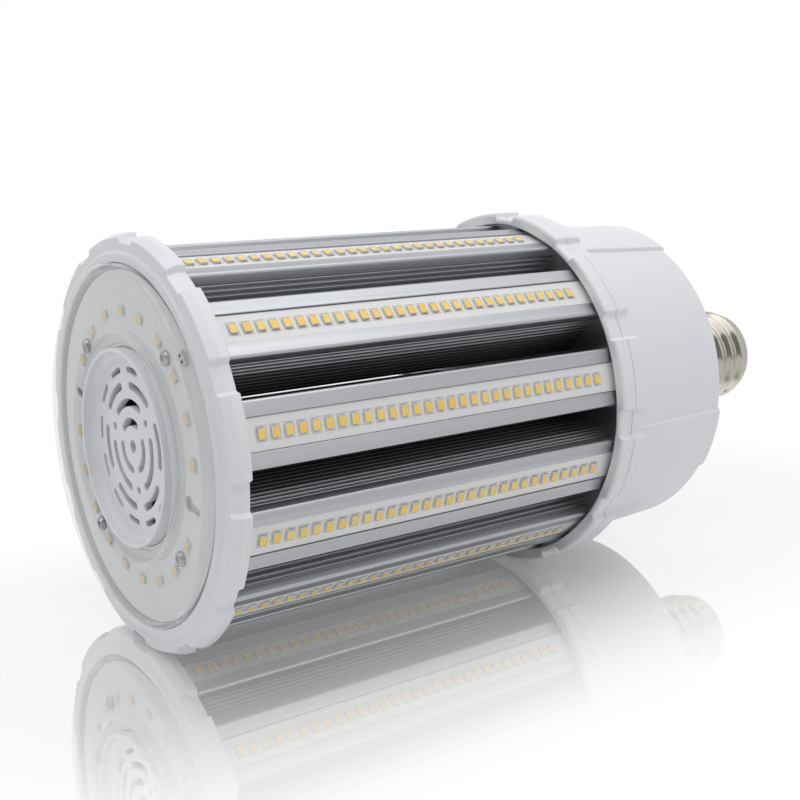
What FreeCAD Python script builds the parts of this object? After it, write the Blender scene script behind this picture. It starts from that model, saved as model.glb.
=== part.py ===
import FreeCAD, Part
import math
import os
import Sketcher
from FreeCAD import Placement, Rotation, Vector

# A corn lamp that lies on its side. The lens looks along -X, the screw cap points along +X, +Z is up.
# The origin is under the middle of the lamp, on the surface that it lies on.
# Stations run along the lamp's axis from the front of the lens. Angles turn about the axis from
# straight up, clockwise as seen from the lens. Sizes are in millimetres and degrees.

# Driving sizes
SIZES = {
    "fit_gap": 0.3,
    # Bars
    "bar_count": 12,
    "first_bar_angle": 15,
    "bar_face": 62.6,
    "bar_width": 20.4,
    "bar_depth": 23,
    "bar_length": 151.9,
    "bar_wall": 1.6,
    "bar_edge_bevel": 0.6,
    "channel_depth": 1.6,
    "channel_play": 0.1,
    "ridge_count": 5,
    "ridge_height": 0.7,
    "port_wall": 1.4,
    "port_depth": 5,
    # Boards and diodes
    "board_thickness": 1,
    "strip_width": 10,
    "strip_inset": 0.5,
    "led_count": 30,
    "led_pitch": 4.6,
    "led_along": 2.8,
    "led_across": 3.5,
    "led_height": 0.8,
    # Lens
    "lens_radius": 58.7,
    "lens_depth": 5.7,
    "lens_wall": 1.6,
    "lens_edge_bevel": 0.7,
    "lens_roll_radius": 36.4,
    "lens_roll_bevel": 1.3,
    "lens_flange": 1,
    # Front ring
    "ring_wall": 1.3,
    "ring_lip_height": 1,
    "ring_lip_width": 2.8,
    "ring_lip_slope": 1,
    "ring_shoulder": 1.3,
    "ring_slope": 3.6,
    "ring_band": 2.8,
    # Pads and recesses, the same on the ring, the collar and the housing
    "pad_wall": 4.3,
    "recess_wall": 2.7,
    "recess_floor": 6.5,
    "recess_mouth": 11.4,
    # Front plate and front board
    "plate_thickness": 3,
    "front_led_radius": 43.8,
    "front_led_angle": 12,
    "front_led_step": 18,
    "front_led_row": 9,
    "keyhole_radius": 2.6,
    "keyhole_slot": 1.5,
    "keyhole_length": 7,
    "board_screw_radius": 43.5,
    "board_screw_angle": 39,
    "connector_inset": 3.3,
    "connector_angle": 48,
    "connector_width": 4.2,
    "connector_depth": 2.4,
    "connector_height": 1.6,
    # Vent cup
    "cup_radius": 32.2,
    "cup_rim_station": 0.5,
    "cup_rim_width": 1.1,
    "cup_root_depth": 1.3,
    "cup_root_reach": 2.9,
    "cup_floor_station": 4.6,
    "cup_floor_thickness": 3,
    "cup_spigot_wall": 3.5,
    "vent_slot_width": 2.5,
    "vent_hub_radius": 2.1,
    "vent_inner_radius": 8.05,
    "vent_inner_span": 75,
    "vent_inner_angle": 105,
    "vent_middle_radius": 14.3,
    "vent_middle_span": 70,
    "vent_middle_angle": 106,
    "vent_dot_radius": 1.25,
    "vent_outer_radius": 20,
    "vent_outer_span": 36,
    "vent_outer_angle": 17,
    "vent_rim_count": 12,
    "vent_rim_radius": 25.1,
    "vent_rim_span": 14,
    "vent_rim_width": 1.9,
    "vent_rim_angle": 2.4,
    # Rear plate, collar and driver housing
    "rear_plate_thickness": 2,
    "rear_plate_hole": 8,
    "collar_lip": 2.6,
    "collar_web": 1.2,
    "collar_bore": 52,
    "flange_depth": 6.4,
    "barrel_step": 4.53,
    "barrel_taper": 1.9,
    "barrel_length": 48.1,
    "barrel_end_bevel": 1.5,
    "tail_depth": 14,
    "neck_radius": 20.8,
    "neck_length": 16.7,
    "neck_bevel": 2.4,
    "spigot_length": 18,
    "housing_wall": 2.2,
    "rib_count": 4,
    "rib_height": 1.2,
    "rib_angle": 15,
    "rib_span": 23,
    # Screw cap, E40
    "crest_radius": 19.75,
    "thread_depth": 1.9,
    "thread_pitch": 6.35,
    "thread_turns": 4.65,
    "thread_flat": 1.4,
    "thread_foot": 4.4,
    "thread_start": 5.8,
    "shell_wall": 0.6,
    "shell_length": 39,
    "shell_end_radius": 14.5,
    "shell_end_depth": 1.2,
    "insulator_height": 3.4,
    "insulator_tip_radius": 9.5,
    "contact_radius": 7.5,
    "contact_height": 2.3,
    "contact_bevel": 1,
    # Screws
    "screw_radius": 1.5,
    "screw_head_radius": 2.9,
    "screw_head_height": 1.7,
    # Driver
    "driver_board_gap": 2.7,
    "driver_board_thickness": 1.6,
    "transformer_size": 34,
    "transformer_height": 30,
    "transformer_flange": 4,
    "capacitor_radius": 9,
    "capacitor_height": 36,
    "capacitor_offset": 32,
    "capacitor_spread": 11,
    "choke_radius": 12,
    "choke_bore": 5.5,
    "choke_height": 11,
    "choke_offset": 33,
    "bridge_width": 15,
    "bridge_thickness": 4,
    "bridge_height": 16,
    "bridge_offset": 34,
    "lead_radius": 1.1,
    "lead_offset": 25,
    "lead_bend": 9,
    "lead_slope": 60,
    "lead_turn_length": 26,
    "shell_lead_radius": 13,
}

# Stations and radii that follow from the driving sizes
PLACES = {
    "board_front": "Sizes.lens_depth - Sizes.board_thickness",
    "bar_front": "Sizes.lens_depth + Sizes.plate_thickness",
    "bar_rear": "Places.bar_front + Sizes.bar_length",
    "rear_plate_back": "Places.bar_rear + Sizes.rear_plate_thickness",
    "parting": "Places.rear_plate_back + Sizes.collar_web",
    "flange_back": "Places.parting + Sizes.flange_depth",
    "barrel_end": "Places.flange_back + Sizes.barrel_length",
    "neck_start": "Places.barrel_end + Sizes.tail_depth",
    "cap_start": "Places.neck_start + Sizes.neck_length",
    "cap_end": "Places.cap_start + Sizes.shell_length",
    "insulator_end": "Places.cap_end + Sizes.insulator_height",
    "overall": "Places.insulator_end + Sizes.contact_height",
    "driver_front": "Places.parting + Sizes.driver_board_thickness",
    "bar_corner": "sqrt(Sizes.bar_face ^ 2 + (Sizes.bar_width / 2) ^ 2)",
    "skirt_bore": "Places.bar_corner + Sizes.fit_gap",
    "pad_radius": "Places.skirt_bore + Sizes.pad_wall",
    "recess_radius": "Places.skirt_bore + Sizes.recess_wall",
    "axis_height": "sqrt(Places.pad_radius ^ 2 - (Sizes.recess_mouth / 2) ^ 2)",
    "barrel_front_radius": "Places.recess_radius - Sizes.barrel_step",
    "barrel_rear_radius": "Places.barrel_front_radius - Sizes.barrel_taper",
    "driver_board_radius": "Places.barrel_front_radius - Sizes.housing_wall - Sizes.driver_board_gap",
    "channel_floor": "Sizes.bar_face - Sizes.channel_depth",
    "web_inside": "Places.channel_floor - Sizes.bar_wall",
    "bar_inside": "Sizes.bar_face - Sizes.bar_depth",
    "ridge_pitch": "(Places.web_inside - Places.bar_inside) / Sizes.ridge_count",
    "strip_top": "Places.channel_floor + Sizes.board_thickness",
    "first_led": "Places.bar_front + (Sizes.bar_length - (Sizes.led_count - 1) * Sizes.led_pitch) / 2",
    "lens_inside": "Sizes.lens_radius - Sizes.lens_wall",
    "lens_seat": "Sizes.lens_radius + Sizes.fit_gap",
    "board_hole": "Sizes.cup_radius + Sizes.fit_gap",
    "connector_radius": "Places.lens_inside - Sizes.connector_inset",
    "cup_spigot": "Sizes.cup_radius - Sizes.cup_spigot_wall",
    "root_radius": "Sizes.crest_radius - Sizes.thread_depth",
    "shell_bore": "Places.root_radius - Sizes.shell_wall",
    "shell_straight": "Places.cap_end - Sizes.shell_end_depth",
    "lead_drop": "Sizes.lead_bend * (1 - cos(Sizes.lead_slope))",
    "lead_reach": "Sizes.lead_bend * sin(Sizes.lead_slope)",
}

doc = FreeCAD.newDocument("corn_lamp")
sheet = doc.addObject("Spreadsheet::Sheet", "Sizes")
for row, (name, number) in enumerate(SIZES.items(), start=1):
    sheet.set(f"A{row}", name)
    sheet.set(f"B{row}", str(number))
    sheet.setAlias(f"B{row}", name)
doc.recompute()

places = doc.addObject("App::VarSet", "Places")
for name in PLACES:
    places.addProperty("App::PropertyFloat", name)
for name, formula in PLACES.items():
    places.setExpression(name, formula)
doc.recompute()


def size(name):
    return float(sheet.get(name))


def evaluate(formula):
    return float(places.evalExpression(formula))


# Body whose own axis is the lamp's axis, turned about it by an angle
def lamp_body(name, turn=None):
    body = doc.addObject("PartDesign::Body", name)
    body.Label = name
    if turn is not None:
        body.Placement = Placement(Vector(), Rotation(Vector(1, 0, 0), 1))
        body.setExpression("Placement.Rotation.Angle", turn)
    body.setExpression("Placement.Base.x", "-Places.overall / 2")
    body.setExpression("Placement.Base.z", "Places.axis_height")
    return body


def origin_feature(body, role):
    return next(item for item in body.Origin.OriginFeatures if item.Role == role)


# Sketch on one of the body's origin planes, raised to a station and turned on the plane
def plane_sketch(body, name, plane="XY_Plane", station=None, turn=None):
    sketch = body.newObject("Sketcher::SketchObject", name)
    sketch.AttachmentSupport = (origin_feature(body, plane), [""])
    sketch.MapMode = "FlatFace"
    if turn is not None:
        sketch.AttachmentOffset = Placement(Vector(), Rotation(Vector(0, 0, 1), 1))
        sketch.setExpression("AttachmentOffset.Rotation.Angle", turn)
    if station is not None:
        sketch.setExpression("AttachmentOffset.Base.z", station)
    return sketch


def bind(sketch, kind, formula, *elements):
    index = sketch.addConstraint(Sketcher.Constraint(kind, *elements, evaluate(formula)))
    sketch.setExpression(f"Constraints[{index}]", formula)


# Closed outline of straight lines through corners that are given as formulas
def add_outline(sketch, corners):
    first = sketch.GeometryCount
    count = len(corners)
    points = [Vector(evaluate(across), evaluate(up), 0) for across, up in corners]
    for i in range(count):
        sketch.addGeometry(Part.LineSegment(points[i], points[(i + 1) % count]), False)
    for i in range(count):
        sketch.addConstraint(Sketcher.Constraint("Coincident", first + i, 2, first + (i + 1) % count, 1))
    for i, (across, up) in enumerate(corners):
        bind(sketch, "DistanceX", across, -1, 1, first + i, 1)
        bind(sketch, "DistanceY", up, -1, 1, first + i, 1)


def add_circle(sketch, across, up, radius):
    index = sketch.addGeometry(Part.Circle(Vector(1, 1, 0), Vector(0, 0, 1), 1), False)
    bind(sketch, "DistanceX", across, -1, 1, index, 3)
    bind(sketch, "DistanceY", up, -1, 1, index, 3)
    bind(sketch, "Radius", radius, index)


# Curved slot with round ends, centred on the sketch's upward axis
def add_arc_slot(sketch, radius_name, span_name, width_name):
    radius = size(radius_name)
    half = math.radians(size(span_name) / 2)
    width = size(width_name)
    right = math.pi / 2 - half
    left = math.pi / 2 + half
    normal = Vector(0, 0, 1)
    ends = [Vector(radius * math.cos(a), radius * math.sin(a), 0) for a in (right, left)]
    first = sketch.GeometryCount
    outer, inner, right_end, left_end = range(first, first + 4)
    arcs = [
        (Vector(), radius + width / 2, right, left),
        (Vector(), radius - width / 2, right, left),
        (ends[0], width / 2, right - math.pi, right),
        (ends[1], width / 2, left, left + math.pi),
    ]
    for centre, arc_radius, begin, finish in arcs:
        circle = Part.Circle(centre, normal, arc_radius)
        sketch.addGeometry(Part.ArcOfCircle(circle, begin, finish), False)
    sketch.addConstraint(Sketcher.Constraint("Coincident", outer, 3, -1, 1))
    sketch.addConstraint(Sketcher.Constraint("Coincident", inner, 3, -1, 1))
    sketch.addConstraint(Sketcher.Constraint("Tangent", outer, 1, right_end, 2))
    sketch.addConstraint(Sketcher.Constraint("Tangent", outer, 2, left_end, 1))
    sketch.addConstraint(Sketcher.Constraint("Tangent", inner, 2, left_end, 2))
    sketch.addConstraint(Sketcher.Constraint("Tangent", inner, 1, right_end, 1))
    reach = f"Sizes.{radius_name} * sin(Sizes.{span_name} / 2)"
    bind(sketch, "Radius", f"Sizes.{radius_name} + Sizes.{width_name} / 2", outer)
    bind(sketch, "Radius", f"Sizes.{radius_name} - Sizes.{width_name} / 2", inner)
    bind(sketch, "DistanceX", reach, -1, 1, right_end, 3)
    bind(sketch, "DistanceX", reach, left_end, 3, -1, 1)


def rectangle(left, low, right, high):
    return [(left, low), (right, low), (right, high), (left, high)]


# Turns a sketch of the XY or XZ plane about the lamp's axis
def revolve(body, name, sketch, angle=None):
    feature = body.newObject("PartDesign::Revolution", name)
    feature.Profile = sketch
    feature.ReferenceAxis = (origin_feature(body, "X_Axis"), [""])
    feature.Angle = 360
    if angle is not None:
        feature.Midplane = True
        feature.setExpression("Angle", angle)
    doc.recompute()
    return feature


def turned_profile(body, name, corners):
    sketch = plane_sketch(body, f"{name}_profile")
    add_outline(sketch, corners)
    return revolve(body, f"{name}_turned", sketch)


def pad(body, name, sketch, length, backwards=False):
    feature = body.newObject("PartDesign::Pad", name)
    feature.Profile = sketch
    feature.Reversed = backwards
    feature.setExpression("Length", length)
    doc.recompute()
    return feature


# Cuts along the lamp's axis, from the sketch towards the cap
def cut_through(body, name, sketch):
    before = body.Shape.Volume
    feature = body.newObject("PartDesign::Pocket", name)
    feature.Profile = sketch
    feature.Type = "ThroughAll"
    feature.Reversed = True
    doc.recompute()
    if body.Shape.Volume >= before:
        raise ValueError(f"{name} cuts nothing")
    return feature


def repeat_around(body, name, features, count, angle="360"):
    feature = body.newObject("PartDesign::PolarPattern", name)
    feature.Originals = features
    feature.Axis = (origin_feature(body, "X_Axis"), [""])
    feature.setExpression("Angle", angle)
    feature.setExpression("Occurrences", count)
    body.Tip = feature
    doc.recompute()
    return feature


def repeat_along(body, name, features, count, length):
    feature = body.newObject("PartDesign::LinearPattern", name)
    feature.Originals = features
    feature.Direction = (origin_feature(body, "X_Axis"), [""])
    feature.setExpression("Length", length)
    feature.setExpression("Occurrences", count)
    body.Tip = feature
    doc.recompute()
    return feature


# Recesses between the pads, cut in line along the rims of the ring, the collar and the housing, to a station
def cut_recesses(body, name, end):
    sketch = plane_sketch(body, f"{name}_recess", plane="YZ_Plane")
    above = "Places.pad_radius + Sizes.fit_gap"
    add_outline(sketch, [
        ("-Sizes.recess_floor / 2", "Places.recess_radius"),
        ("Sizes.recess_floor / 2", "Places.recess_radius"),
        ("Sizes.recess_mouth / 2", "Places.axis_height"),
        ("Sizes.recess_mouth / 2", above),
        ("-Sizes.recess_mouth / 2", above),
        ("-Sizes.recess_mouth / 2", "Places.axis_height"),
    ])
    recess = body.newObject("PartDesign::Pocket", f"{name}_recess_cut")
    recess.Profile = sketch
    recess.Reversed = True
    recess.setExpression("Length", end)
    doc.recompute()
    repeat_around(body, f"{name}_recesses", [recess], "Sizes.bar_count")


# Round holes through a flat piece, evenly spaced about the lamp's axis
def drill_round(body, name, radius_from_axis, hole_radius, first_angle, count):
    sketch = plane_sketch(body, f"{name}_sketch", plane="YZ_Plane", turn=first_angle)
    add_circle(sketch, "0", radius_from_axis, hole_radius)
    hole = cut_through(body, f"{name}_hole", sketch)
    repeat_around(body, f"{name}_holes", [hole], count)


# White ring that holds the lens and reaches over the front ends of the bars
def make_front_ring():
    body = lamp_body("front_ring")
    face = "Sizes.lens_depth - Sizes.ring_wall"
    lip = f"{face} - Sizes.ring_lip_height"
    lip_edge = "Places.lens_seat + Sizes.ring_lip_width"
    back = f"{face} + Sizes.ring_slope + Sizes.ring_band"
    turned_profile(body, "front_ring", [
        ("Sizes.lens_depth", "Places.lens_seat"),
        (lip, "Places.lens_seat"),
        (lip, lip_edge),
        (face, f"{lip_edge} + Sizes.ring_lip_slope"),
        (face, "Places.pad_radius - Sizes.ring_shoulder"),
        (f"{face} + Sizes.ring_slope", "Places.pad_radius"),
        (back, "Places.pad_radius"),
        (back, "Places.skirt_bore"),
        ("Sizes.lens_depth", "Places.skirt_bore"),
    ])
    cut_recesses(body, "front_ring", back)
    return body


# Clear cover: a disc with a skirt, rolled in at the vent cup to a flange that lies on the board
def make_front_lens():
    body = lamp_body("front_lens")
    roll = "Sizes.lens_roll_radius"
    roll_inside = f"{roll} + Sizes.lens_wall"
    flange_front = "Places.board_front - Sizes.lens_flange"
    flange_edge = "Places.board_hole + Sizes.lens_flange"
    turned_profile(body, "front_lens", [
        ("Sizes.lens_depth", "Sizes.lens_radius"),
        ("Sizes.lens_edge_bevel", "Sizes.lens_radius"),
        ("0", "Sizes.lens_radius - Sizes.lens_edge_bevel"),
        ("0", f"{roll} + Sizes.lens_roll_bevel"),
        ("Sizes.lens_roll_bevel", roll),
        (flange_front, roll),
        (flange_front, flange_edge),
        ("Places.board_front", flange_edge),
        ("Places.board_front", roll_inside),
        ("Sizes.lens_wall", roll_inside),
        ("Sizes.lens_wall", "Places.lens_inside"),
        ("Sizes.lens_depth", "Places.lens_inside"),
    ])
    return body


# One ring of the grille: a curved slot repeated about the axis
def cut_vent_ring(body, name, radius, span, width, angle, count, dot=False):
    sketch = plane_sketch(body, f"{name}_sketch", plane="YZ_Plane", turn=f"Sizes.{angle}")
    add_arc_slot(sketch, radius, span, width)
    if dot:
        away = f"180 / {count}"
        across = f"Sizes.{radius} * sin({away})"
        add_circle(sketch, across, f"Sizes.{radius} * cos({away})", "Sizes.vent_dot_radius")
    slot = cut_through(body, f"{name}_slot", sketch)
    repeat_around(body, f"{name}_slots", [slot], str(count))


# White cup sunk in the middle of the lens, its floor pierced as a grille
def make_vent_grille():
    body = lamp_body("vent_grille")
    rim_inside = "Sizes.cup_radius - Sizes.cup_rim_width"
    floor_back = "Sizes.cup_floor_station + Sizes.cup_floor_thickness"
    turned_profile(body, "vent_grille", [
        ("Sizes.cup_floor_station", "0"),
        ("Sizes.cup_floor_station", f"{rim_inside} - Sizes.cup_root_reach"),
        ("Sizes.cup_floor_station - Sizes.cup_root_depth", rim_inside),
        ("Sizes.cup_rim_station", rim_inside),
        ("Sizes.cup_rim_station", "Sizes.cup_radius"),
        ("Sizes.lens_depth", "Sizes.cup_radius"),
        ("Sizes.lens_depth", "Places.cup_spigot"),
        (floor_back, "Places.cup_spigot"),
        (floor_back, "0"),
    ])
    hub = plane_sketch(body, "vent_hub_sketch", plane="YZ_Plane")
    add_circle(hub, "0", "0", "Sizes.vent_hub_radius")
    cut_through(body, "vent_hub", hub)
    cut_vent_ring(body, "vent_inner", "vent_inner_radius", "vent_inner_span", "vent_slot_width",
                  "vent_inner_angle", 3)
    cut_vent_ring(body, "vent_middle", "vent_middle_radius", "vent_middle_span", "vent_slot_width",
                  "vent_middle_angle", 3, dot=True)
    cut_vent_ring(body, "vent_outer", "vent_outer_radius", "vent_outer_span", "vent_slot_width",
                  "vent_outer_angle", 6)
    rim = plane_sketch(body, "vent_rim_sketch", plane="YZ_Plane", turn="Sizes.vent_rim_angle")
    half = "Sizes.vent_rim_radius * sin(Sizes.vent_rim_span / 2)"
    add_outline(rim, rectangle(
        f"-{half}", "Sizes.vent_rim_radius - Sizes.vent_rim_width / 2",
        half, "Sizes.vent_rim_radius + Sizes.vent_rim_width / 2"))
    opening = cut_through(body, "vent_rim_opening", rim)
    repeat_around(body, "vent_rim_openings", [opening], "Sizes.vent_rim_count")
    return body


KEYHOLE_ANGLE = "Sizes.front_led_angle + 5 * Sizes.front_led_step"


# Round white board behind the lens, with two keyholes
def make_front_board():
    body = lamp_body("front_board")
    sketch = plane_sketch(body, "front_board_outline", plane="YZ_Plane", station="Places.board_front")
    add_circle(sketch, "0", "0", "Places.lens_inside - Sizes.fit_gap")
    add_circle(sketch, "0", "0", "Places.board_hole")
    pad(body, "front_board_disc", sketch, "Sizes.board_thickness")
    keyhole = plane_sketch(body, "keyhole_sketch", plane="YZ_Plane", turn=KEYHOLE_ANGLE)
    low = "Sizes.front_led_radius - Sizes.keyhole_length / 2"
    add_circle(keyhole, "0", low, "Sizes.keyhole_radius")
    narrow = plane_sketch(body, "keyhole_slot_sketch", plane="YZ_Plane", turn=KEYHOLE_ANGLE)
    high = "Sizes.front_led_radius + Sizes.keyhole_length / 2"
    add_outline(narrow, rectangle("-Sizes.keyhole_slot", low, "Sizes.keyhole_slot", high))
    cuts = [cut_through(body, "keyhole", keyhole), cut_through(body, "keyhole_slot_cut", narrow)]
    repeat_around(body, "keyholes", cuts, "2")
    drill_round(body, "board_screw", "Sizes.board_screw_radius", "Sizes.screw_radius",
                "Sizes.board_screw_angle", "4")
    return body


# Eighteen diodes on the front board, in two rows between the keyholes
def make_front_leds():
    body = lamp_body("front_leds")
    body.AllowCompound = True
    corners = rectangle("-Sizes.led_across / 2", "Sizes.front_led_radius - Sizes.led_along / 2",
                        "Sizes.led_across / 2", "Sizes.front_led_radius + Sizes.led_along / 2")
    for side in (0, 1):
        turn = f"{KEYHOLE_ANGLE} + Sizes.front_led_step + {side} * 180"
        sketch = plane_sketch(body, f"front_led_sketch_{side}", plane="YZ_Plane",
                              station="Places.board_front", turn=turn)
        add_outline(sketch, corners)
        diode = pad(body, f"front_led_{side}", sketch, "Sizes.led_height", backwards=True)
        repeat_around(body, f"front_led_row_{side}", [diode], "Sizes.front_led_row",
                      "(Sizes.front_led_row - 1) * Sizes.front_led_step")
    return body


# Pan head screws that hold the front board to the plate
def make_front_screws():
    body = lamp_body("front_screws")
    body.AllowCompound = True
    turn = "Sizes.board_screw_angle"
    head = plane_sketch(body, "board_screw_head_sketch", plane="YZ_Plane",
                        station="Places.board_front", turn=turn)
    add_circle(head, "0", "Sizes.board_screw_radius", "Sizes.screw_head_radius")
    shank = plane_sketch(body, "board_screw_shank_sketch", plane="YZ_Plane",
                         station="Places.board_front", turn=turn)
    add_circle(shank, "0", "Sizes.board_screw_radius", "Sizes.screw_radius")
    pieces = [
        pad(body, "board_screw_head", head, "Sizes.screw_head_height", backwards=True),
        pad(body, "board_screw_shank", shank, "Sizes.board_thickness + Sizes.plate_thickness"),
    ]
    repeat_around(body, "board_screws", pieces, "4")
    return body


# Small connector at the edge of the front board
def make_board_connector():
    body = lamp_body("board_connector")
    sketch = plane_sketch(body, "connector_sketch", plane="YZ_Plane", station="Places.board_front",
                          turn="Sizes.connector_angle")
    add_outline(sketch, rectangle(
        "-Sizes.connector_width / 2", "Places.connector_radius - Sizes.connector_depth / 2",
        "Sizes.connector_width / 2", "Places.connector_radius + Sizes.connector_depth / 2"))
    pad(body, "connector", sketch, "Sizes.connector_height", backwards=True)
    return body


# Aluminium disc at the front ends of the bars
def make_front_plate():
    body = lamp_body("front_plate")
    sketch = plane_sketch(body, "front_plate_outline", plane="YZ_Plane", station="Sizes.lens_depth")
    add_circle(sketch, "0", "0", "Places.bar_corner")
    add_circle(sketch, "0", "0", "Places.cup_spigot + Sizes.fit_gap")
    pad(body, "front_plate_disc", sketch, "Sizes.plate_thickness")
    drill_round(body, "plate_board_screw", "Sizes.board_screw_radius", "Sizes.screw_radius",
                "Sizes.board_screw_angle", "4")
    return body


# Half of the bar's section, from the middle of its channel to its screw port
def bar_half_section(side):
    edge = f"{side} * Sizes.bar_width / 2"
    valley = f"{side} * (Sizes.bar_width / 2 - Sizes.ridge_height)"
    inside = f"{side} * (Sizes.bar_width / 2 - Sizes.bar_wall)"
    channel = f"{side} * (Sizes.strip_width / 2 + Sizes.channel_play)"
    port_outside = f"{side} * (Sizes.screw_radius + Sizes.port_wall)"
    port_inside = f"{side} * Sizes.screw_radius"
    port_end = "Places.web_inside - Sizes.port_depth"
    corners = [(channel, "Places.channel_floor"), (channel, "Sizes.bar_face")]
    corners.append((f"{side} * (Sizes.bar_width / 2 - Sizes.bar_edge_bevel)", "Sizes.bar_face"))
    corners.append((edge, "Sizes.bar_face - Sizes.bar_edge_bevel"))
    corners.append((edge, "Places.web_inside"))
    for ridge in range(int(size("ridge_count"))):
        corners.append((valley, f"Places.web_inside - {ridge + 0.5} * Places.ridge_pitch"))
        corners.append((edge, f"Places.web_inside - {ridge + 1} * Places.ridge_pitch"))
    corners.append((inside, "Places.bar_inside"))
    corners.append((inside, "Places.web_inside"))
    corners.append((port_outside, "Places.web_inside"))
    corners.append((port_outside, port_end))
    corners.append((port_inside, port_end))
    corners.append((port_inside, "Places.web_inside"))
    return corners


def bar_turn(number):
    return f"Sizes.first_bar_angle + {number - 1} * 360 / Sizes.bar_count"


# Extruded bar: a channel for the board outside, ridged side walls and a screw port inside
def make_bar(number):
    name = f"heat_sink_bar_{number:02d}"
    body = lamp_body(name, turn=bar_turn(number))
    sketch = plane_sketch(body, f"{name}_section", plane="YZ_Plane", station="Places.bar_front")
    right = bar_half_section("1")
    left = bar_half_section("-1")
    add_outline(sketch, right + left[::-1])
    pad(body, f"{name}_extrusion", sketch, "Sizes.bar_length")
    return body


# Long board in the bar's channel
def make_led_board(number):
    name = f"led_board_{number:02d}"
    body = lamp_body(name, turn=bar_turn(number))
    sketch = plane_sketch(body, f"{name}_outline", station="Places.channel_floor")
    start = "Places.bar_front + Sizes.strip_inset"
    end = "Places.bar_rear - Sizes.strip_inset"
    add_outline(sketch, rectangle(start, "-Sizes.strip_width / 2", end, "Sizes.strip_width / 2"))
    pad(body, f"{name}_plate", sketch, "Sizes.board_thickness")
    return body


# Row of diodes along the long board
def make_leds(number):
    name = f"leds_{number:02d}"
    body = lamp_body(name, turn=bar_turn(number))
    body.AllowCompound = True
    sketch = plane_sketch(body, f"{name}_outline", station="Places.strip_top")
    start = "Places.first_led - Sizes.led_along / 2"
    end = "Places.first_led + Sizes.led_along / 2"
    add_outline(sketch, rectangle(start, "-Sizes.led_across / 2", end, "Sizes.led_across / 2"))
    diode = pad(body, f"{name}_diode", sketch, "Sizes.led_height")
    repeat_along(body, f"{name}_row", [diode], "Sizes.led_count", "(Sizes.led_count - 1) * Sizes.led_pitch")
    return body


# White collar: pads over the rear ends of the bars and a web behind the rear plate
def make_rear_collar():
    body = lamp_body("rear_collar")
    front = "Places.bar_rear - Sizes.collar_lip"
    turned_profile(body, "rear_collar", [
        (front, "Places.skirt_bore"),
        (front, "Places.pad_radius"),
        ("Places.parting", "Places.pad_radius"),
        ("Places.parting", "Sizes.collar_bore"),
        ("Places.rear_plate_back", "Sizes.collar_bore"),
        ("Places.rear_plate_back", "Places.skirt_bore"),
    ])
    cut_recesses(body, "rear_collar", "Places.parting")
    return body


# Aluminium disc at the rear ends of the bars
def make_rear_plate():
    body = lamp_body("rear_plate")
    sketch = plane_sketch(body, "rear_plate_outline", plane="YZ_Plane", station="Places.bar_rear")
    add_circle(sketch, "0", "0", "Places.bar_corner")
    add_circle(sketch, "0", "0", "Sizes.rear_plate_hole")
    pad(body, "rear_plate_disc", sketch, "Sizes.rear_plate_thickness")
    return body


# Moulded housing of the driver: padded flange, tapered barrel with ribs, shallow tail and neck
def make_driver_housing():
    body = lamp_body("driver_housing")
    wall = "Sizes.housing_wall"
    bevel = "Sizes.barrel_end_bevel"
    bevel_start = f"Places.barrel_end - {bevel}"
    turned_profile(body, "driver_housing", [
        ("Places.parting", "Places.pad_radius"),
        ("Places.flange_back", "Places.pad_radius"),
        ("Places.flange_back", "Places.barrel_front_radius"),
        (bevel_start, "Places.barrel_rear_radius"),
        ("Places.barrel_end", f"Places.barrel_rear_radius - {bevel}"),
        ("Places.neck_start - Sizes.neck_bevel / 3", "Sizes.neck_radius + Sizes.neck_bevel"),
        ("Places.neck_start + Sizes.neck_bevel", "Sizes.neck_radius"),
        ("Places.cap_start", "Sizes.neck_radius"),
        ("Places.cap_start", "Places.shell_bore"),
        ("Places.cap_start + Sizes.spigot_length", "Places.shell_bore"),
        ("Places.cap_start + Sizes.spigot_length", f"Places.shell_bore - {wall}"),
        (f"Places.cap_start - {wall}", f"Places.shell_bore - {wall}"),
        (f"Places.cap_start - {wall}", f"Sizes.neck_radius - {wall}"),
        (f"Places.neck_start - {wall}", f"Sizes.neck_radius - {wall}"),
        (f"Places.barrel_end - {wall}", f"Places.barrel_rear_radius - {wall}"),
        ("Places.parting", f"Places.barrel_front_radius - {wall}"),
    ])
    rib = plane_sketch(body, "rib_profile", plane="XZ_Plane")
    rib.AttachmentOffset = Placement(Vector(), Rotation(Vector(1, 0, 0), 1))
    rib.setExpression("AttachmentOffset.Rotation.Angle", "Sizes.rib_angle")
    add_outline(rib, [
        ("Places.flange_back", f"Places.barrel_rear_radius - {bevel}"),
        ("Places.flange_back", "Places.barrel_front_radius + Sizes.rib_height"),
        (bevel_start, "Places.barrel_rear_radius + Sizes.rib_height"),
        ("Places.barrel_end", f"Places.barrel_rear_radius - {bevel} + Sizes.rib_height"),
        ("Places.barrel_end", f"Places.barrel_rear_radius - {bevel}"),
    ])
    first_rib = revolve(body, "rib", rib, angle="Sizes.rib_span")
    repeat_around(body, "ribs", [first_rib], "Sizes.rib_count")
    cut_recesses(body, "driver_housing", "Places.flange_back")
    return body


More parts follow.
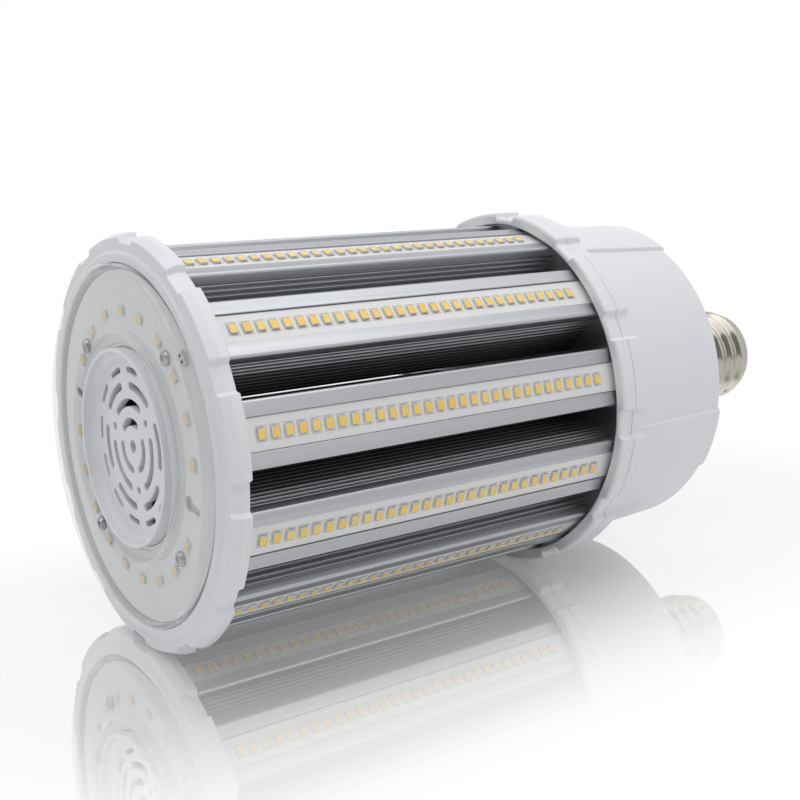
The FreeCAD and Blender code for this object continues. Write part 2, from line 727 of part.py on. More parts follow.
# Screw shell of the cap with its rolled thread
def make_cap_shell():
    body = lamp_body("cap_shell")
    wall = "Sizes.shell_wall"
    turned_profile(body, "cap_shell", [
        ("Places.cap_start", "Places.root_radius"),
        ("Places.shell_straight", "Places.root_radius"),
        ("Places.cap_end", "Sizes.shell_end_radius"),
        (f"Places.cap_end - {wall}", f"Sizes.shell_end_radius - {wall}"),
        (f"Places.shell_straight - {wall}", "Places.shell_bore"),
        ("Places.cap_start", "Places.shell_bore"),
    ])
    thread = plane_sketch(body, "thread_profile")
    start = "Places.cap_start + Sizes.thread_start"
    flat = "Sizes.thread_flat / 2"
    foot = "Sizes.thread_foot / 2"
    sunk = "Places.root_radius - Sizes.shell_wall / 2"
    add_outline(thread, [
        (f"{start} - {foot}", sunk),
        (f"{start} - {flat}", "Sizes.crest_radius"),
        (f"{start} + {flat}", "Sizes.crest_radius"),
        (f"{start} + {foot}", sunk),
    ])
    helix = body.newObject("PartDesign::AdditiveHelix", "thread")
    helix.Profile = thread
    helix.ReferenceAxis = (origin_feature(body, "X_Axis"), [""])
    helix.Mode = "pitch-turns-angle"
    helix.setExpression("Pitch", "Sizes.thread_pitch")
    helix.setExpression("Turns", "Sizes.thread_turns")
    doc.recompute()
    return body


# Black insulator at the end of the cap
def make_cap_insulator():
    body = lamp_body("cap_insulator")
    inside = "Sizes.shell_end_radius - Sizes.shell_wall"
    turned_profile(body, "cap_insulator", [
        ("Places.cap_end - Sizes.shell_wall", "Sizes.lead_radius"),
        ("Places.cap_end - Sizes.shell_wall", inside),
        ("Places.cap_end", "Sizes.shell_end_radius"),
        ("Places.insulator_end", "Sizes.insulator_tip_radius"),
        ("Places.insulator_end", "Sizes.lead_radius"),
    ])
    return body


def make_centre_contact():
    body = lamp_body("centre_contact")
    turned_profile(body, "centre_contact", [
        ("Places.insulator_end", "0"),
        ("Places.insulator_end", "Sizes.contact_radius"),
        ("Places.overall - Sizes.contact_bevel", "Sizes.contact_radius"),
        ("Places.overall", "Sizes.contact_radius - Sizes.contact_bevel"),
        ("Places.overall", "0"),
    ])
    return body


# Round circuit board of the driver, clamped between the collar's web and the housing
def make_driver_board():
    body = lamp_body("driver_board")
    sketch = plane_sketch(body, "driver_board_outline", plane="YZ_Plane", station="Places.parting")
    add_circle(sketch, "0", "0", "Places.driver_board_radius")
    pad(body, "driver_board_disc", sketch, "Sizes.driver_board_thickness")
    return body


def driver_sketch(body, name):
    return plane_sketch(body, name, plane="YZ_Plane", station="Places.driver_front")


# Transformer: a core with a wider flange at its foot
def make_driver_transformer():
    body = lamp_body("driver_transformer")
    half = "Sizes.transformer_size / 2"
    flange = f"({half} + Sizes.transformer_flange / 2)"
    foot = driver_sketch(body, "transformer_foot_outline")
    add_outline(foot, rectangle(f"-{flange}", f"-{half}", flange, half))
    pad(body, "transformer_foot", foot, "Sizes.transformer_flange")
    core = driver_sketch(body, "transformer_core_outline")
    add_outline(core, rectangle(f"-({half})", f"-({half})", half, half))
    pad(body, "transformer_core", core, "Sizes.transformer_height")
    return body


def make_driver_capacitors():
    body = lamp_body("driver_capacitors")
    body.AllowCompound = True
    sketch = driver_sketch(body, "capacitor_outline")
    for side in ("1", "-1"):
        across = f"{side} * Sizes.capacitor_spread"
        add_circle(sketch, across, "Sizes.capacitor_offset", "Sizes.capacitor_radius")
    pad(body, "capacitors", sketch, "Sizes.capacitor_height")
    return body


def make_driver_choke():
    body = lamp_body("driver_choke")
    sketch = driver_sketch(body, "choke_outline")
    add_circle(sketch, "0", "-Sizes.choke_offset", "Sizes.choke_radius")
    add_circle(sketch, "0", "-Sizes.choke_offset", "Sizes.choke_bore")
    pad(body, "choke", sketch, "Sizes.choke_height")
    return body


def make_driver_bridge():
    body = lamp_body("driver_bridge")
    sketch = driver_sketch(body, "bridge_outline")
    add_outline(sketch, rectangle(
        "Sizes.bridge_offset", "-Sizes.bridge_width / 2",
        "Sizes.bridge_offset + Sizes.bridge_thickness", "Sizes.bridge_width / 2"))
    pad(body, "bridge", sketch, "Sizes.bridge_height")
    return body


# Arc between two points of a path. Returns its number and which of its ends lie at the two points
def add_arc(sketch, centre, first, second, radius):
    begin = math.atan2(first.y - centre.y, first.x - centre.x)
    finish = math.atan2(second.y - centre.y, second.x - centre.x)
    ends = (1, 2)
    if (finish - begin) % (2 * math.pi) > math.pi:
        begin, finish = finish, begin
        ends = (2, 1)
    circle = Part.Circle(centre, Vector(0, 0, 1), evaluate(radius))
    index = sketch.addGeometry(Part.ArcOfCircle(circle, begin, finish), False)
    bind(sketch, "Radius", radius, index)
    return index, ends


# Lead from the driver board to the cap: straight runs joined by tangent arcs
def make_lead(name, side, end_station, end_radius):
    body = lamp_body(name)
    offset = "Sizes.lead_offset"
    turn = "Places.neck_start - Sizes.lead_turn_length"
    slope_start = f"{turn} + Places.lead_reach"
    slope_end = f"{slope_start} + ({offset} - {end_radius} - 2 * Places.lead_drop) / tan(Sizes.lead_slope)"
    corners = [
        ("Places.driver_front", f"{side} * {offset}"),
        (turn, f"{side} * {offset}"),
        (slope_start, f"{side} * ({offset} - Places.lead_drop)"),
        (slope_end, f"{side} * ({end_radius} + Places.lead_drop)"),
        (f"{slope_end} + Places.lead_reach", f"{side} * {end_radius}"),
        (end_station, f"{side} * {end_radius}"),
    ]
    points = [Vector(evaluate(along), evaluate(across), 0) for along, across in corners]
    path = plane_sketch(body, f"{name}_path", plane="XY_Plane")
    lines = []
    for number in (0, 2, 4):
        index = path.addGeometry(Part.LineSegment(points[number], points[number + 1]), False)
        for end in (0, 1):
            along, across = corners[number + end]
            bind(path, "DistanceX", along, -1, 1, index, end + 1)
            bind(path, "DistanceY", across, -1, 1, index, end + 1)
        lines.append(index)
    inward = Vector(0, side * evaluate("Sizes.lead_bend"), 0)
    for number, centre in ((0, points[1] - inward), (1, points[4] + inward)):
        index, ends = add_arc(path, centre, points[2 * number + 1], points[2 * number + 2], "Sizes.lead_bend")
        path.addConstraint(Sketcher.Constraint("Coincident", lines[number], 2, index, ends[0]))
        path.addConstraint(Sketcher.Constraint("Coincident", index, ends[1], lines[number + 1], 1))
    doc.recompute()
    section = plane_sketch(body, f"{name}_section", plane="YZ_Plane", station="Places.driver_front")
    add_circle(section, f"{side} * {offset}", "0", "Sizes.lead_radius")
    pipe = body.newObject("PartDesign::AdditivePipe", f"{name}_pipe")
    pipe.Profile = section
    pipe.Spine = (path, [])
    pipe.Transition = "Transformed"
    doc.recompute()
    return body


bar_numbers = range(1, int(size("bar_count")) + 1)
nodes = [
    make_front_ring(),
    make_front_lens(),
    make_vent_grille(),
    make_front_board(),
    make_front_leds(),
    make_front_screws(),
    make_board_connector(),
    make_front_plate(),
]
nodes += [make_bar(number) for number in bar_numbers]
nodes += [make_led_board(number) for number in bar_numbers]
nodes += [make_leds(number) for number in bar_numbers]
nodes += [
    make_rear_collar(),
    make_rear_plate(),
    make_driver_housing(),
    make_cap_shell(),
    make_cap_insulator(),
    make_centre_contact(),
    make_driver_board(),
    make_driver_transformer(),
    make_driver_capacitors(),
    make_driver_choke(),
    make_driver_bridge(),
    make_lead("live_lead", 1, "Places.insulator_end", "0"),
    make_lead("neutral_lead", -1, "Places.cap_start + Sizes.spigot_length", "Sizes.shell_lead_radius"),
]
doc.recompute()

for item in doc.Objects:
    if "Invalid" in item.State or "Error" in item.State:
        raise ValueError(f"{item.Label} failed: {item.State}")
for node in nodes:
    if node.Shape.isNull() or not node.Shape.isValid():
        raise ValueError(f"{node.Label} has no valid shape")

os.makedirs("parts", exist_ok=True)
for node in nodes:
    node.Shape.exportStep(f"parts/{node.Label}.step")
print(len(nodes), "nodes written")
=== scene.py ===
import bpy
import bmesh
import math
from mathutils import Matrix, Vector


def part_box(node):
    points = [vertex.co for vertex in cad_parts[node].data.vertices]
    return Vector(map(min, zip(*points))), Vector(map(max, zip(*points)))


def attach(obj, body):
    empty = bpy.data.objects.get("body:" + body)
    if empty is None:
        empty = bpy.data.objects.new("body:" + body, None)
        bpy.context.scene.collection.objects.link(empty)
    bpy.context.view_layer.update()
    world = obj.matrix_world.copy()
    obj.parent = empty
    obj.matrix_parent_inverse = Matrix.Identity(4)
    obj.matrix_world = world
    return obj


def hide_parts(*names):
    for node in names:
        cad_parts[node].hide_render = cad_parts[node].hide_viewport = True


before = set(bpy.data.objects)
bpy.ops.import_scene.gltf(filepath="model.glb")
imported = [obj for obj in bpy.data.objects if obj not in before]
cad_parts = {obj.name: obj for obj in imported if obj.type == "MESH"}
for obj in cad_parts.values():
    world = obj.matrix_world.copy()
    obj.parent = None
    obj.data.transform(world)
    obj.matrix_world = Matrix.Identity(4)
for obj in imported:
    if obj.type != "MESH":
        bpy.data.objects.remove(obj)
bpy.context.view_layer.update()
scene = bpy.context.scene
mm = 0.001

# The lamp lies along X with its lens towards -X. Stations count from the lens front and radii from
# the axis, both in millimetres, and only the distances named weld are in metres. Angles turn clockwise
# from straight up, as the lens is seen.
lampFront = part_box("front_lens")[0].x
tipLow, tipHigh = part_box("cap_insulator")
axisHeight = (tipLow.z + tipHigh.z) / 2

# What the mouldings and the ring of bars share
lamp = {
    "bars": 12,
    "sector": 30,         # degrees from one bar to the next
    "firstBar": 15,
    "barFront": 8.7,
    "barRear": 160.6,
    "padRadius": 68.02,
    "skirtBore": 63.8,
    "recessDepth": 1.9,
    "recessFloor": 3.5,   # half angles, in degrees
    "recessMouth": 4.75,
}


def station(value):
    return lampFront + value * mm


def lampPoint(along, radius, degrees):
    turn = math.radians(degrees)
    across, up = -radius * mm * math.sin(turn), radius * mm * math.cos(turn)
    return Vector((station(along), across, axisHeight + up))


def newObject(name, data):
    made = bpy.data.objects.new(name, data)
    scene.collection.objects.link(made)
    return made


# Adds a node and wires it. A node that is given as a value stands for its first output.
def addNode(tree, kind, wires=None, **settings):
    made = tree.nodes.new(kind)
    for key, value in settings.items():
        setattr(made, key, value)
    for socket, value in (wires or {}).items():
        if isinstance(value, bpy.types.Node):
            value = value.outputs[0]
        if isinstance(value, bpy.types.NodeSocket):
            tree.links.new(value, made.inputs[socket])
        else:
            made.inputs[socket].default_value = value
    return made


def maths(tree, operation, first, second=0.0, third=0.0):
    return addNode(tree, "ShaderNodeMath", {0: first, 1: second, 2: third}, operation=operation).outputs[0]


def mapRange(tree, value, fromLow, fromHigh, toLow, toHigh, smooth=False):
    return addNode(tree, "ShaderNodeMapRange", {
        "Value": value, "From Min": fromLow, "From Max": fromHigh, "To Min": toLow, "To Max": toHigh,
    }, interpolation_type="SMOOTHSTEP" if smooth else "LINEAR").outputs["Result"]


def mixShaders(tree, share, first, second):
    return addNode(tree, "ShaderNodeMixShader", {0: share, 1: first, 2: second})


def emptyMaterial(name):
    material = bpy.data.materials.new(name)
    material.use_nodes = True
    tree = material.node_tree
    tree.nodes.clear()
    output = tree.nodes.new("ShaderNodeOutputMaterial")
    return material, tree, output


# Noise on object coordinates, stretched where the finish runs along the lamp
def noiseField(tree, scale, detail, stretch=(1, 1, 1), roughness=0.5):
    place = addNode(tree, "ShaderNodeTexCoord").outputs["Object"]
    mapping = addNode(tree, "ShaderNodeMapping", {"Vector": place, "Scale": stretch})
    noise = addNode(tree, "ShaderNodeTexNoise",
                    {"Vector": mapping, "Scale": scale, "Detail": detail, "Roughness": roughness})
    return noise.outputs["Fac"]


noiseRange = (0.3, 0.7)


# Noise stays near its middle, so that part of it is spread over the whole range
def spread(tree, field, low, high):
    return mapRange(tree, field, *noiseRange, low, high)


def blendColours(tree, field, first, second):
    base = first if isinstance(first, bpy.types.NodeSocket) else (*first, 1)
    return addNode(tree, "ShaderNodeMix", {0: field, 6: base, 7: (*second, 1)}, data_type="RGBA").outputs[2]


# Painted shade between the bars: how deep between them a point lies, 0 at their faces and 1 near their
# feet, which darkens the metal's colour where shade falls there
def paintedShadeDepth(tree, extra):
    place = addNode(tree, "ShaderNodeTexCoord").outputs["Object"]
    centred = addNode(tree, "ShaderNodeVectorMath", {0: place, 1: (0, 0, -axisHeight)}, operation="ADD")
    flat = addNode(tree, "ShaderNodeVectorMath", {0: centred, 1: (0, 1, 1)}, operation="MULTIPLY")
    away = addNode(tree, "ShaderNodeVectorMath", {0: flat}, operation="LENGTH").outputs["Value"]
    return mapRange(tree, away, extra["paintedShadeFrom"], extra["paintedShadeTo"], 0.0, 1.0)


def finishMaterial(name, colour, otherColour, patchScale, grainScale, bump, bumpDepth, roughness, extra):
    material, tree, output = emptyMaterial(name)
    stretch = extra.get("stretch", (1, 1, 1))
    broad = noiseField(tree, patchScale, 2.0, stretch)
    fine = noiseField(tree, grainScale, 4.0, stretch, 0.6)
    tone = blendColours(tree, spread(tree, broad, 0, 1), colour, otherColour)
    if "tint" in extra:
        own = addNode(tree, "ShaderNodeAttribute", attribute_name="tint").outputs["Fac"]
        tone = blendColours(tree, own, tone, extra["tint"])
    if "paintedShadeTone" in extra:
        # Painted shade: the aluminium's colour darkens towards a painted shade tone deep between the bars
        tone = blendColours(tree, paintedShadeDepth(tree, extra), tone, extra["paintedShadeTone"])
    relief = addNode(tree, "ShaderNodeBump", {"Height": fine, "Strength": bump, "Distance": bumpDepth})
    shader = addNode(tree, "ShaderNodeBsdfPrincipled", {
        "Base Color": tone, "Roughness": spread(tree, fine, *roughness), "Normal": relief,
        "Metallic": extra.get("metallic", 0.0),
        "Coat Weight": extra.get("coat", 0.0), "Coat Roughness": 0.1,
    })
    tree.links.new(shader.outputs["BSDF"], output.inputs["Surface"])
    return material


# Each row: colour, other colour, scale of the patches, of the grain, bump, its depth in metres, roughness
finishes = {
    "mouldedWhite": ((0.80, 0.81, 0.84), (0.77, 0.78, 0.815), 9, 1500, 0.16, 0.00006, (0.28, 0.40)),
    "boardWhite": ((0.81, 0.815, 0.81), (0.77, 0.775, 0.775), 40, 2600, 0.12, 0.00004, (0.34, 0.48)),
    "extrudedAluminium": ((0.46, 0.47, 0.49), (0.38, 0.39, 0.41), 260, 1400, 0.35, 0.00004, (0.34, 0.48)),
    "punchedAluminium": ((0.46, 0.47, 0.48), (0.38, 0.39, 0.40), 60, 900, 0.3, 0.00004, (0.36, 0.5)),
    "diodeCase": ((0.70, 0.69, 0.65), (0.62, 0.61, 0.58), 500, 5000, 0.1, 0.00002, (0.34, 0.46)),
    "amberGel": ((0.98, 0.60, 0.075), (0.95, 0.64, 0.11), 700, 9000, 0.25, 0.00002, (0.30, 0.46)),
    "solderTin": ((0.42, 0.42, 0.42), (0.25, 0.25, 0.25), 900, 4000, 0.3, 0.00003, (0.25, 0.45)),
    "maskEdge": ((0.20, 0.20, 0.19), (0.14, 0.14, 0.13), 300, 4000, 0.1, 0.00002, (0.5, 0.6)),
    "nickelShell": ((0.50, 0.48, 0.42), (0.40, 0.38, 0.33), 45, 700, 0.15, 0.00005, (0.14, 0.24)),
    "contactTin": ((0.60, 0.55, 0.44), (0.48, 0.43, 0.33), 180, 900, 0.4, 0.00008, (0.24, 0.38)),
    "blackInsulator": ((0.018, 0.018, 0.020), (0.028, 0.028, 0.030), 90, 1800, 0.15, 0.0001, (0.24, 0.38)),
    "screwSteel": ((0.40, 0.40, 0.41), (0.28, 0.28, 0.29), 400, 2500, 0.2, 0.00003, (0.18, 0.32)),
    "connectorIvory": ((0.70, 0.69, 0.64), (0.64, 0.63, 0.58), 300, 3000, 0.1, 0.0001, (0.35, 0.5)),
    "contactDark": ((0.03, 0.03, 0.03), (0.06, 0.055, 0.05), 900, 3000, 0.1, 0.0001, (0.3, 0.5)),
    "boardGreen": ((0.02, 0.10, 0.045), (0.03, 0.13, 0.06), 120, 2200, 0.15, 0.0001, (0.3, 0.45)),
    "darkFerrite": ((0.035, 0.035, 0.037), (0.06, 0.06, 0.062), 260, 1600, 0.4, 0.0001, (0.55, 0.75)),
    "capacitorSleeve": ((0.012, 0.02, 0.07), (0.016, 0.026, 0.085), 100, 1500, 0.1, 0.0001, (0.2, 0.3)),
    "copperWinding": ((0.46, 0.19, 0.07), (0.36, 0.14, 0.05), 600, 1800, 0.5, 0.0001, (0.25, 0.4)),
    "redSleeve": ((0.36, 0.02, 0.015), (0.30, 0.016, 0.012), 150, 1500, 0.1, 0.0001, (0.4, 0.55)),
    "blueSleeve": ((0.02, 0.05, 0.30), (0.016, 0.04, 0.25), 150, 1500, 0.1, 0.0001, (0.4, 0.55)),
}
finishExtras = {
    "boardWhite": {"coat": 0.15},
    "extrudedAluminium": {
        "stretch": (0.012, 1, 1), "metallic": 1.0,
        # painted shade: deep between the bars the metal's colour darkens towards this tone
        "paintedShadeTone": (0.22, 0.23, 0.24), "paintedShadeFrom": 0.0605, "paintedShadeTo": 0.046,
    },
    "punchedAluminium": {"stretch": (1, 1, 0.15), "metallic": 1.0},
    "amberGel": {"tint": (0.98, 0.70, 0.17)},
    "solderTin": {"metallic": 1.0},
    "nickelShell": {"metallic": 1.0},
    "contactTin": {"metallic": 1.0},
    "screwSteel": {"metallic": 1.0},
    "copperWinding": {"stretch": (8, 1, 1), "metallic": 1.0},
}
materials = {name: finishMaterial(name, *row, finishExtras.get(name, {})) for name, row in finishes.items()}

clearCover = {
    "passed": (0.95, 0.955, 0.96), "milk": (0.86, 0.87, 0.88), "veil": 0.02, "edge": 0.75, "edgePower": 3.4,
    "roughness": 0.05, "roughFrom": 0.7, "roughTo": 1.3, "ior": 1.5, "hazeScale": 60,
}


# Thin clear cover. Its front faces reflect and turn milky where they are seen edge on, and what lies behind
# is seen straight through it. Shadow and diffuse rays pass, so the board behind it is lit.
def coverMaterial(name, values):
    material, tree, output = emptyMaterial(name)
    haze = noiseField(tree, values["hazeScale"], 2.0)
    base = values["roughness"]
    rough = spread(tree, haze, base * values["roughFrom"], base * values["roughTo"])
    through = addNode(tree, "ShaderNodeBsdfTransparent", {"Color": (*values["passed"], 1)})
    gloss = addNode(tree, "ShaderNodeBsdfGlossy", {"Color": (1, 1, 1, 1), "Roughness": rough})
    milk = addNode(tree, "ShaderNodeBsdfDiffuse", {"Color": (*values["milk"], 1)})
    ray = addNode(tree, "ShaderNodeLightPath").outputs
    straight = maths(tree, "MAXIMUM", ray["Is Shadow Ray"], ray["Is Diffuse Ray"])
    back = addNode(tree, "ShaderNodeNewGeometry").outputs["Backfacing"]
    front = maths(tree, "SUBTRACT", 1.0, maths(tree, "MAXIMUM", straight, back))
    fresnel = addNode(tree, "ShaderNodeFresnel", {"IOR": values["ior"]})
    facing = addNode(tree, "ShaderNodeLayerWeight", {"Blend": 0.5}).outputs["Facing"]
    slanted = maths(tree, "POWER", facing, values["edgePower"])
    edge = maths(tree, "MULTIPLY_ADD", slanted, values["edge"], values["veil"])
    clear = mixShaders(tree, maths(tree, "MULTIPLY", fresnel, front), through, gloss)
    milky = mixShaders(tree, maths(tree, "MULTIPLY", edge, front), clear, milk)
    tree.links.new(milky.outputs["Shader"], output.inputs["Surface"])
    return material


materials["clearCover"] = coverMaterial("clearCover", clearCover)
print("materials ready")





def addPiece(name, points, faces, material, edges=()):
    mesh = bpy.data.meshes.new(name)
    mesh.from_pydata([tuple(point) for point in points], list(edges), faces)
    mesh.materials.append(materials[material])
    return newObject(name, mesh)


def boxLoop(lowX, highX, lowY, highY, up):
    return [(lowX, lowY, up), (highX, lowY, up), (highX, highY, up), (lowX, highY, up)]


# Turns the faces outward. An open sheet has no inside, so its topmost face tells which way is out.
def outwardFaces(piece, merge=0.0, sheet=False):
    shape = bmesh.new()
    shape.from_mesh(piece.data)
    if merge:
        bmesh.ops.remove_doubles(shape, verts=shape.verts, dist=merge)
    bmesh.ops.recalc_face_normals(shape, faces=shape.faces)
    if sheet and max(shape.faces, key=lambda face: face.calc_center_median().z).normal.z < 0:
        bmesh.ops.reverse_faces(shape, faces=shape.faces)
    shape.to_mesh(piece.data)
    shape.free()


sharpFrom = 38   # degrees between two faces from which their edge stays sharp


def finishPiece(piece, slotName, *nodes, degrees=sharpFrom):
    mesh = piece.data
    mesh.polygons.foreach_set("use_smooth", [True] * len(mesh.polygons))
    mesh.set_sharp_from_angle(angle=math.radians(degrees))
    weighted = piece.modifiers.new("evenShading", "WEIGHTED_NORMAL")
    weighted.keep_sharp = True
    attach(piece, "root")
    if nodes:
        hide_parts(*nodes)


# Rounds the corners of an outline. A corner is (station, radius, round) and what follows is carried along
def roundedOutline(corners, closed=True, stepAngle=16):
    outline = []
    count = len(corners)
    for index, corner in enumerate(corners):
        here = Vector(corner[:2])
        roundness = corner[2]
        extra = tuple(corner[3:])
        if not roundness or (not closed and index in (0, count - 1)):
            outline.append((here.x, here.y, *extra))
            continue
        toBefore = (Vector(corners[index - 1][:2]) - here).normalized()
        toAfter = (Vector(corners[(index + 1) % count][:2]) - here).normalized()
        half = toBefore.angle(toAfter) / 2
        centre = here + (toBefore + toAfter).normalized() * roundness / math.sin(half)
        begin = here + toBefore * roundness / math.tan(half) - centre
        end = here + toAfter * roundness / math.tan(half) - centre
        turn = math.atan2(begin.x * end.y - begin.y * end.x, begin.dot(end))
        steps = max(2, round(abs(math.degrees(turn)) / stepAngle))
        for step in range(steps + 1):
            point = centre + Matrix.Rotation(turn * step / steps, 2) @ begin
            outline.append((point.x, point.y, *extra))
    return outline


# Turns an outline of stations and radii about an axis. change(extra, degrees) moves a point in or out.
def turnedShape(outline, angles, change=None, closed=True, place=lampPoint):
    points = []
    rings = []
    for along, radius, *extra in outline:
        if radius == 0:
            rings.append([len(points)] * len(angles))
            points.append(place(along, 0, 0))
            continue
        ring = []
        for degrees in angles:
            moved = radius + (change(extra, degrees) if change else 0)
            ring.append(len(points))
            points.append(place(along, moved, degrees))
        rings.append(ring)
    faces = []
    pairs = list(zip(rings, rings[1:]))
    if closed:
        pairs.append((rings[-1], rings[0]))
    for first, second in pairs:
        for step in range(len(angles)):
            after = (step + 1) % len(angles)
            corners = (first[step], first[after], second[after], second[step])
            face = tuple(dict.fromkeys(corners))
            if len(face) > 2:
                faces.append(face)
    return points, faces


def turnedPiece(name, node, outline, angles, material, slotName, change=None, closed=True):
    piece = addPiece(name, *turnedShape(outline, angles, change, closed), material)
    outwardFaces(piece)
    finishPiece(piece, slotName, node)


def evenAngles(count):
    return [360 * step / count for step in range(count)]


def ease(value):
    value = min(1.0, max(0.0, value))
    return value * value * (3 - 2 * value)


# Angles that are close together where a pad or a rib ends
def padAngles():
    offsets = [0, 1.7, 3.1, 3.5, 3.62, 3.78, 3.95, 4.125, 4.3, 4.47, 4.63, 4.75, 5.1, 6.2, 8, 10, 12.5, 15]
    step = lamp["sector"]
    sector = sorted(set(offsets + [step - offset for offset in offsets if offset]))
    return [step * turn + offset for turn in range(lamp["bars"]) for offset in sector if offset < step]


# How far an angle lies from the nearest of the places that start at first and repeat with a step
def offsetFrom(degrees, first, step):
    return abs((degrees - first + step / 2) % step - step / 2)


def recessDepth(degrees):
    mouth, floor = lamp["recessMouth"], lamp["recessFloor"]
    return lamp["recessDepth"] * ease((mouth - offsetFrom(degrees, 0, lamp["sector"])) / (mouth - floor))


def newTree(name, inputs):
    tree = bpy.data.node_groups.new(name, "GeometryNodeTree")
    sockets = {"Geometry": "Geometry", **inputs, "Axis height": "Float", "Finish": "Material"}
    for label, kind in sockets.items():
        tree.interface.new_socket(label, in_out="INPUT", socket_type=f"NodeSocket{kind}")
    tree.interface.new_socket("Geometry", in_out="OUTPUT", socket_type="NodeSocketGeometry")
    return tree, tree.nodes.new("NodeGroupInput").outputs, tree.nodes.new("NodeGroupOutput")


def joinGeometry(tree, *parts):
    joined = addNode(tree, "GeometryNodeJoinGeometry")
    for part in parts:
        tree.links.new(part.outputs[0], joined.inputs["Geometry"])
    return joined


# What each tree ends with: real geometry in one finish
def endTree(tree, geometry, given, output):
    real = addNode(tree, "GeometryNodeRealizeInstances", {"Geometry": geometry})
    dressed = addNode(tree, "GeometryNodeSetMaterial", {"Geometry": real, "Material": given["Finish"]})
    tree.links.new(dressed.outputs["Geometry"], output.inputs["Geometry"])
    return tree


# Runs a tree on a piece and keeps the result as its plain mesh
def applyTree(piece, tree, material, values):
    values = {**values, "Axis height": axisHeight, "Finish": materials[material]}
    modifier = piece.modifiers.new(tree.name, "NODES")
    modifier.node_group = tree
    for item in tree.interface.items_tree:
        if item.in_out == "INPUT" and item.name in values:
            modifier[item.identifier] = values[item.name]
    keepResult(piece)


def keepResult(piece):
    graph = bpy.context.evaluated_depsgraph_get()
    result = bpy.data.meshes.new_from_object(
        piece.evaluated_get(graph), preserve_all_data_layers=True, depsgraph=graph)
    result.name = piece.name
    piece.modifiers.clear()
    piece.data = result


# Rows of one shape along the lamp, repeated about its axis
def makeRingTree():
    tree, given, output = newTree("ringOfRows", {
        "Rows": "Int", "Row pitch": "Float", "Copies": "Int", "First angle": "Float", "Step angle": "Float",
        "Skip every": "Int", "Skipped": "Int", "Seed": "Int"})
    pitch = addNode(tree, "ShaderNodeCombineXYZ", {"X": given["Row pitch"]})
    row = addNode(tree, "GeometryNodeMeshLine", {"Count": given["Rows"], "Offset": pitch})
    rowCopies = addNode(tree, "GeometryNodeInstanceOnPoints",
                        {"Points": row, "Instance": given["Geometry"]})
    shade = addNode(tree, "FunctionNodeRandomValue", {"Seed": given["Seed"]}, data_type="FLOAT")
    marked = addNode(tree, "GeometryNodeStoreNamedAttribute",
                     {"Geometry": rowCopies, "Name": "tint", "Value": shade.outputs[1]},
                     data_type="FLOAT", domain="INSTANCE")
    oneRow = addNode(tree, "GeometryNodeRealizeInstances", {"Geometry": marked})
    centre = addNode(tree, "ShaderNodeCombineXYZ", {"Z": given["Axis height"]})
    ring = addNode(tree, "GeometryNodeMeshLine",
                   {"Count": given["Copies"], "Start Location": centre, "Offset": (0, 0, 0)})
    index = addNode(tree, "GeometryNodeInputIndex")
    gap = maths(tree, "COMPARE", maths(tree, "MODULO", index, given["Skip every"]), given["Skipped"], 0.1)
    degrees = maths(tree, "MULTIPLY_ADD", index, given["Step angle"], given["First angle"])
    rotation = addNode(tree, "ShaderNodeCombineXYZ", {"X": maths(tree, "RADIANS", degrees)})
    wanted = maths(tree, "SUBTRACT", 1.0, gap)
    copies = addNode(tree, "GeometryNodeInstanceOnPoints",
                     {"Points": ring, "Selection": wanted, "Instance": oneRow, "Rotation": rotation})
    return endTree(tree, copies, given, output)


ringTree = makeRingTree()
aroundBars = (lamp["bars"], lamp["firstBar"], lamp["sector"])


def barNodes(prefix):
    return [f"{prefix}_{number:02d}" for number in range(1, lamp["bars"] + 1)]


# Places a shape that is given at angle 0 round the lamp. around: how many, the first angle and the step
def ringPiece(name, nodes, shape, around, material, slotName, degrees=sharpFrom,
              rows=1, rowPitch=0.0, skipEvery=1, skipped=-1, seed=1):
    piece = addPiece(name, *shape, material)
    outwardFaces(piece)
    copies, firstAngle, stepAngle = around
    applyTree(piece, ringTree, material, {
        "Rows": rows, "Row pitch": rowPitch * mm, "Copies": copies, "First angle": float(firstAngle),
        "Step angle": float(stepAngle), "Skip every": skipEvery, "Skipped": skipped, "Seed": seed})
    finishPiece(piece, slotName, *nodes, degrees=degrees)


camera = {
    "place": (-0.295755, -0.35568, 0.17628), "turn": (76.3447, -0.8096, -35.9052),
    "lens": 55.0976, "sensor": 36,
}
view = bpy.data.cameras.new("photoCamera")
view.lens = camera["lens"]
view.sensor_width = camera["sensor"]
photoCamera = newObject("photoCamera", view)
photoCamera.location = camera["place"]
photoCamera.rotation_euler = [math.radians(angle) for angle in camera["turn"]]
scene.camera = photoCamera
scene.view_settings.view_transform = "Standard"

studio = {
    "ambient": 0.32,
    "backdropSide": (0.588, 0.809, 0.0),
    "cameraSide": 0.30,
    "sideFrom": -0.75,
    "sideTo": 0.12,
    "floorHalf": 3.0,
    "floorTone": 0.86,
    "lampHalf": 0.14,     # half the line below the lamp from which the floor's fades are measured
    "mirror": 0.66,
    "mirrorRoughness": 0.03,
    "mirrorNear": 0.035,
    "mirrorFar": 0.135,
    "paleNear": 0.035,
    "paleFar": 0.115,
    "paleLeast": 0.42,
    # name, place, size, energy, whether floor and metal mirror it
    "lamps": [
        ("topLamp", (-0.05, -0.10, 1.10), (1.6, 1.3), 8.2, True),
        ("sideLamp", (0.20, -1.25, 0.62), (0.9, 1.0), 2.5, True),
        ("stripLamp", (-0.95, 0.15, 0.85), (0.10, 0.9), 1.3, True),
        ("backLamp", (0.55, 0.95, 0.80), (0.8, 0.6), 2.4, False),
    ],
}


def cameraLikeRays(tree):
    ray = addNode(tree, "ShaderNodeLightPath").outputs
    seen = maths(tree, "MAXIMUM", ray["Is Camera Ray"], ray["Is Glossy Ray"])
    return maths(tree, "MAXIMUM", seen, ray["Is Transmission Ray"])


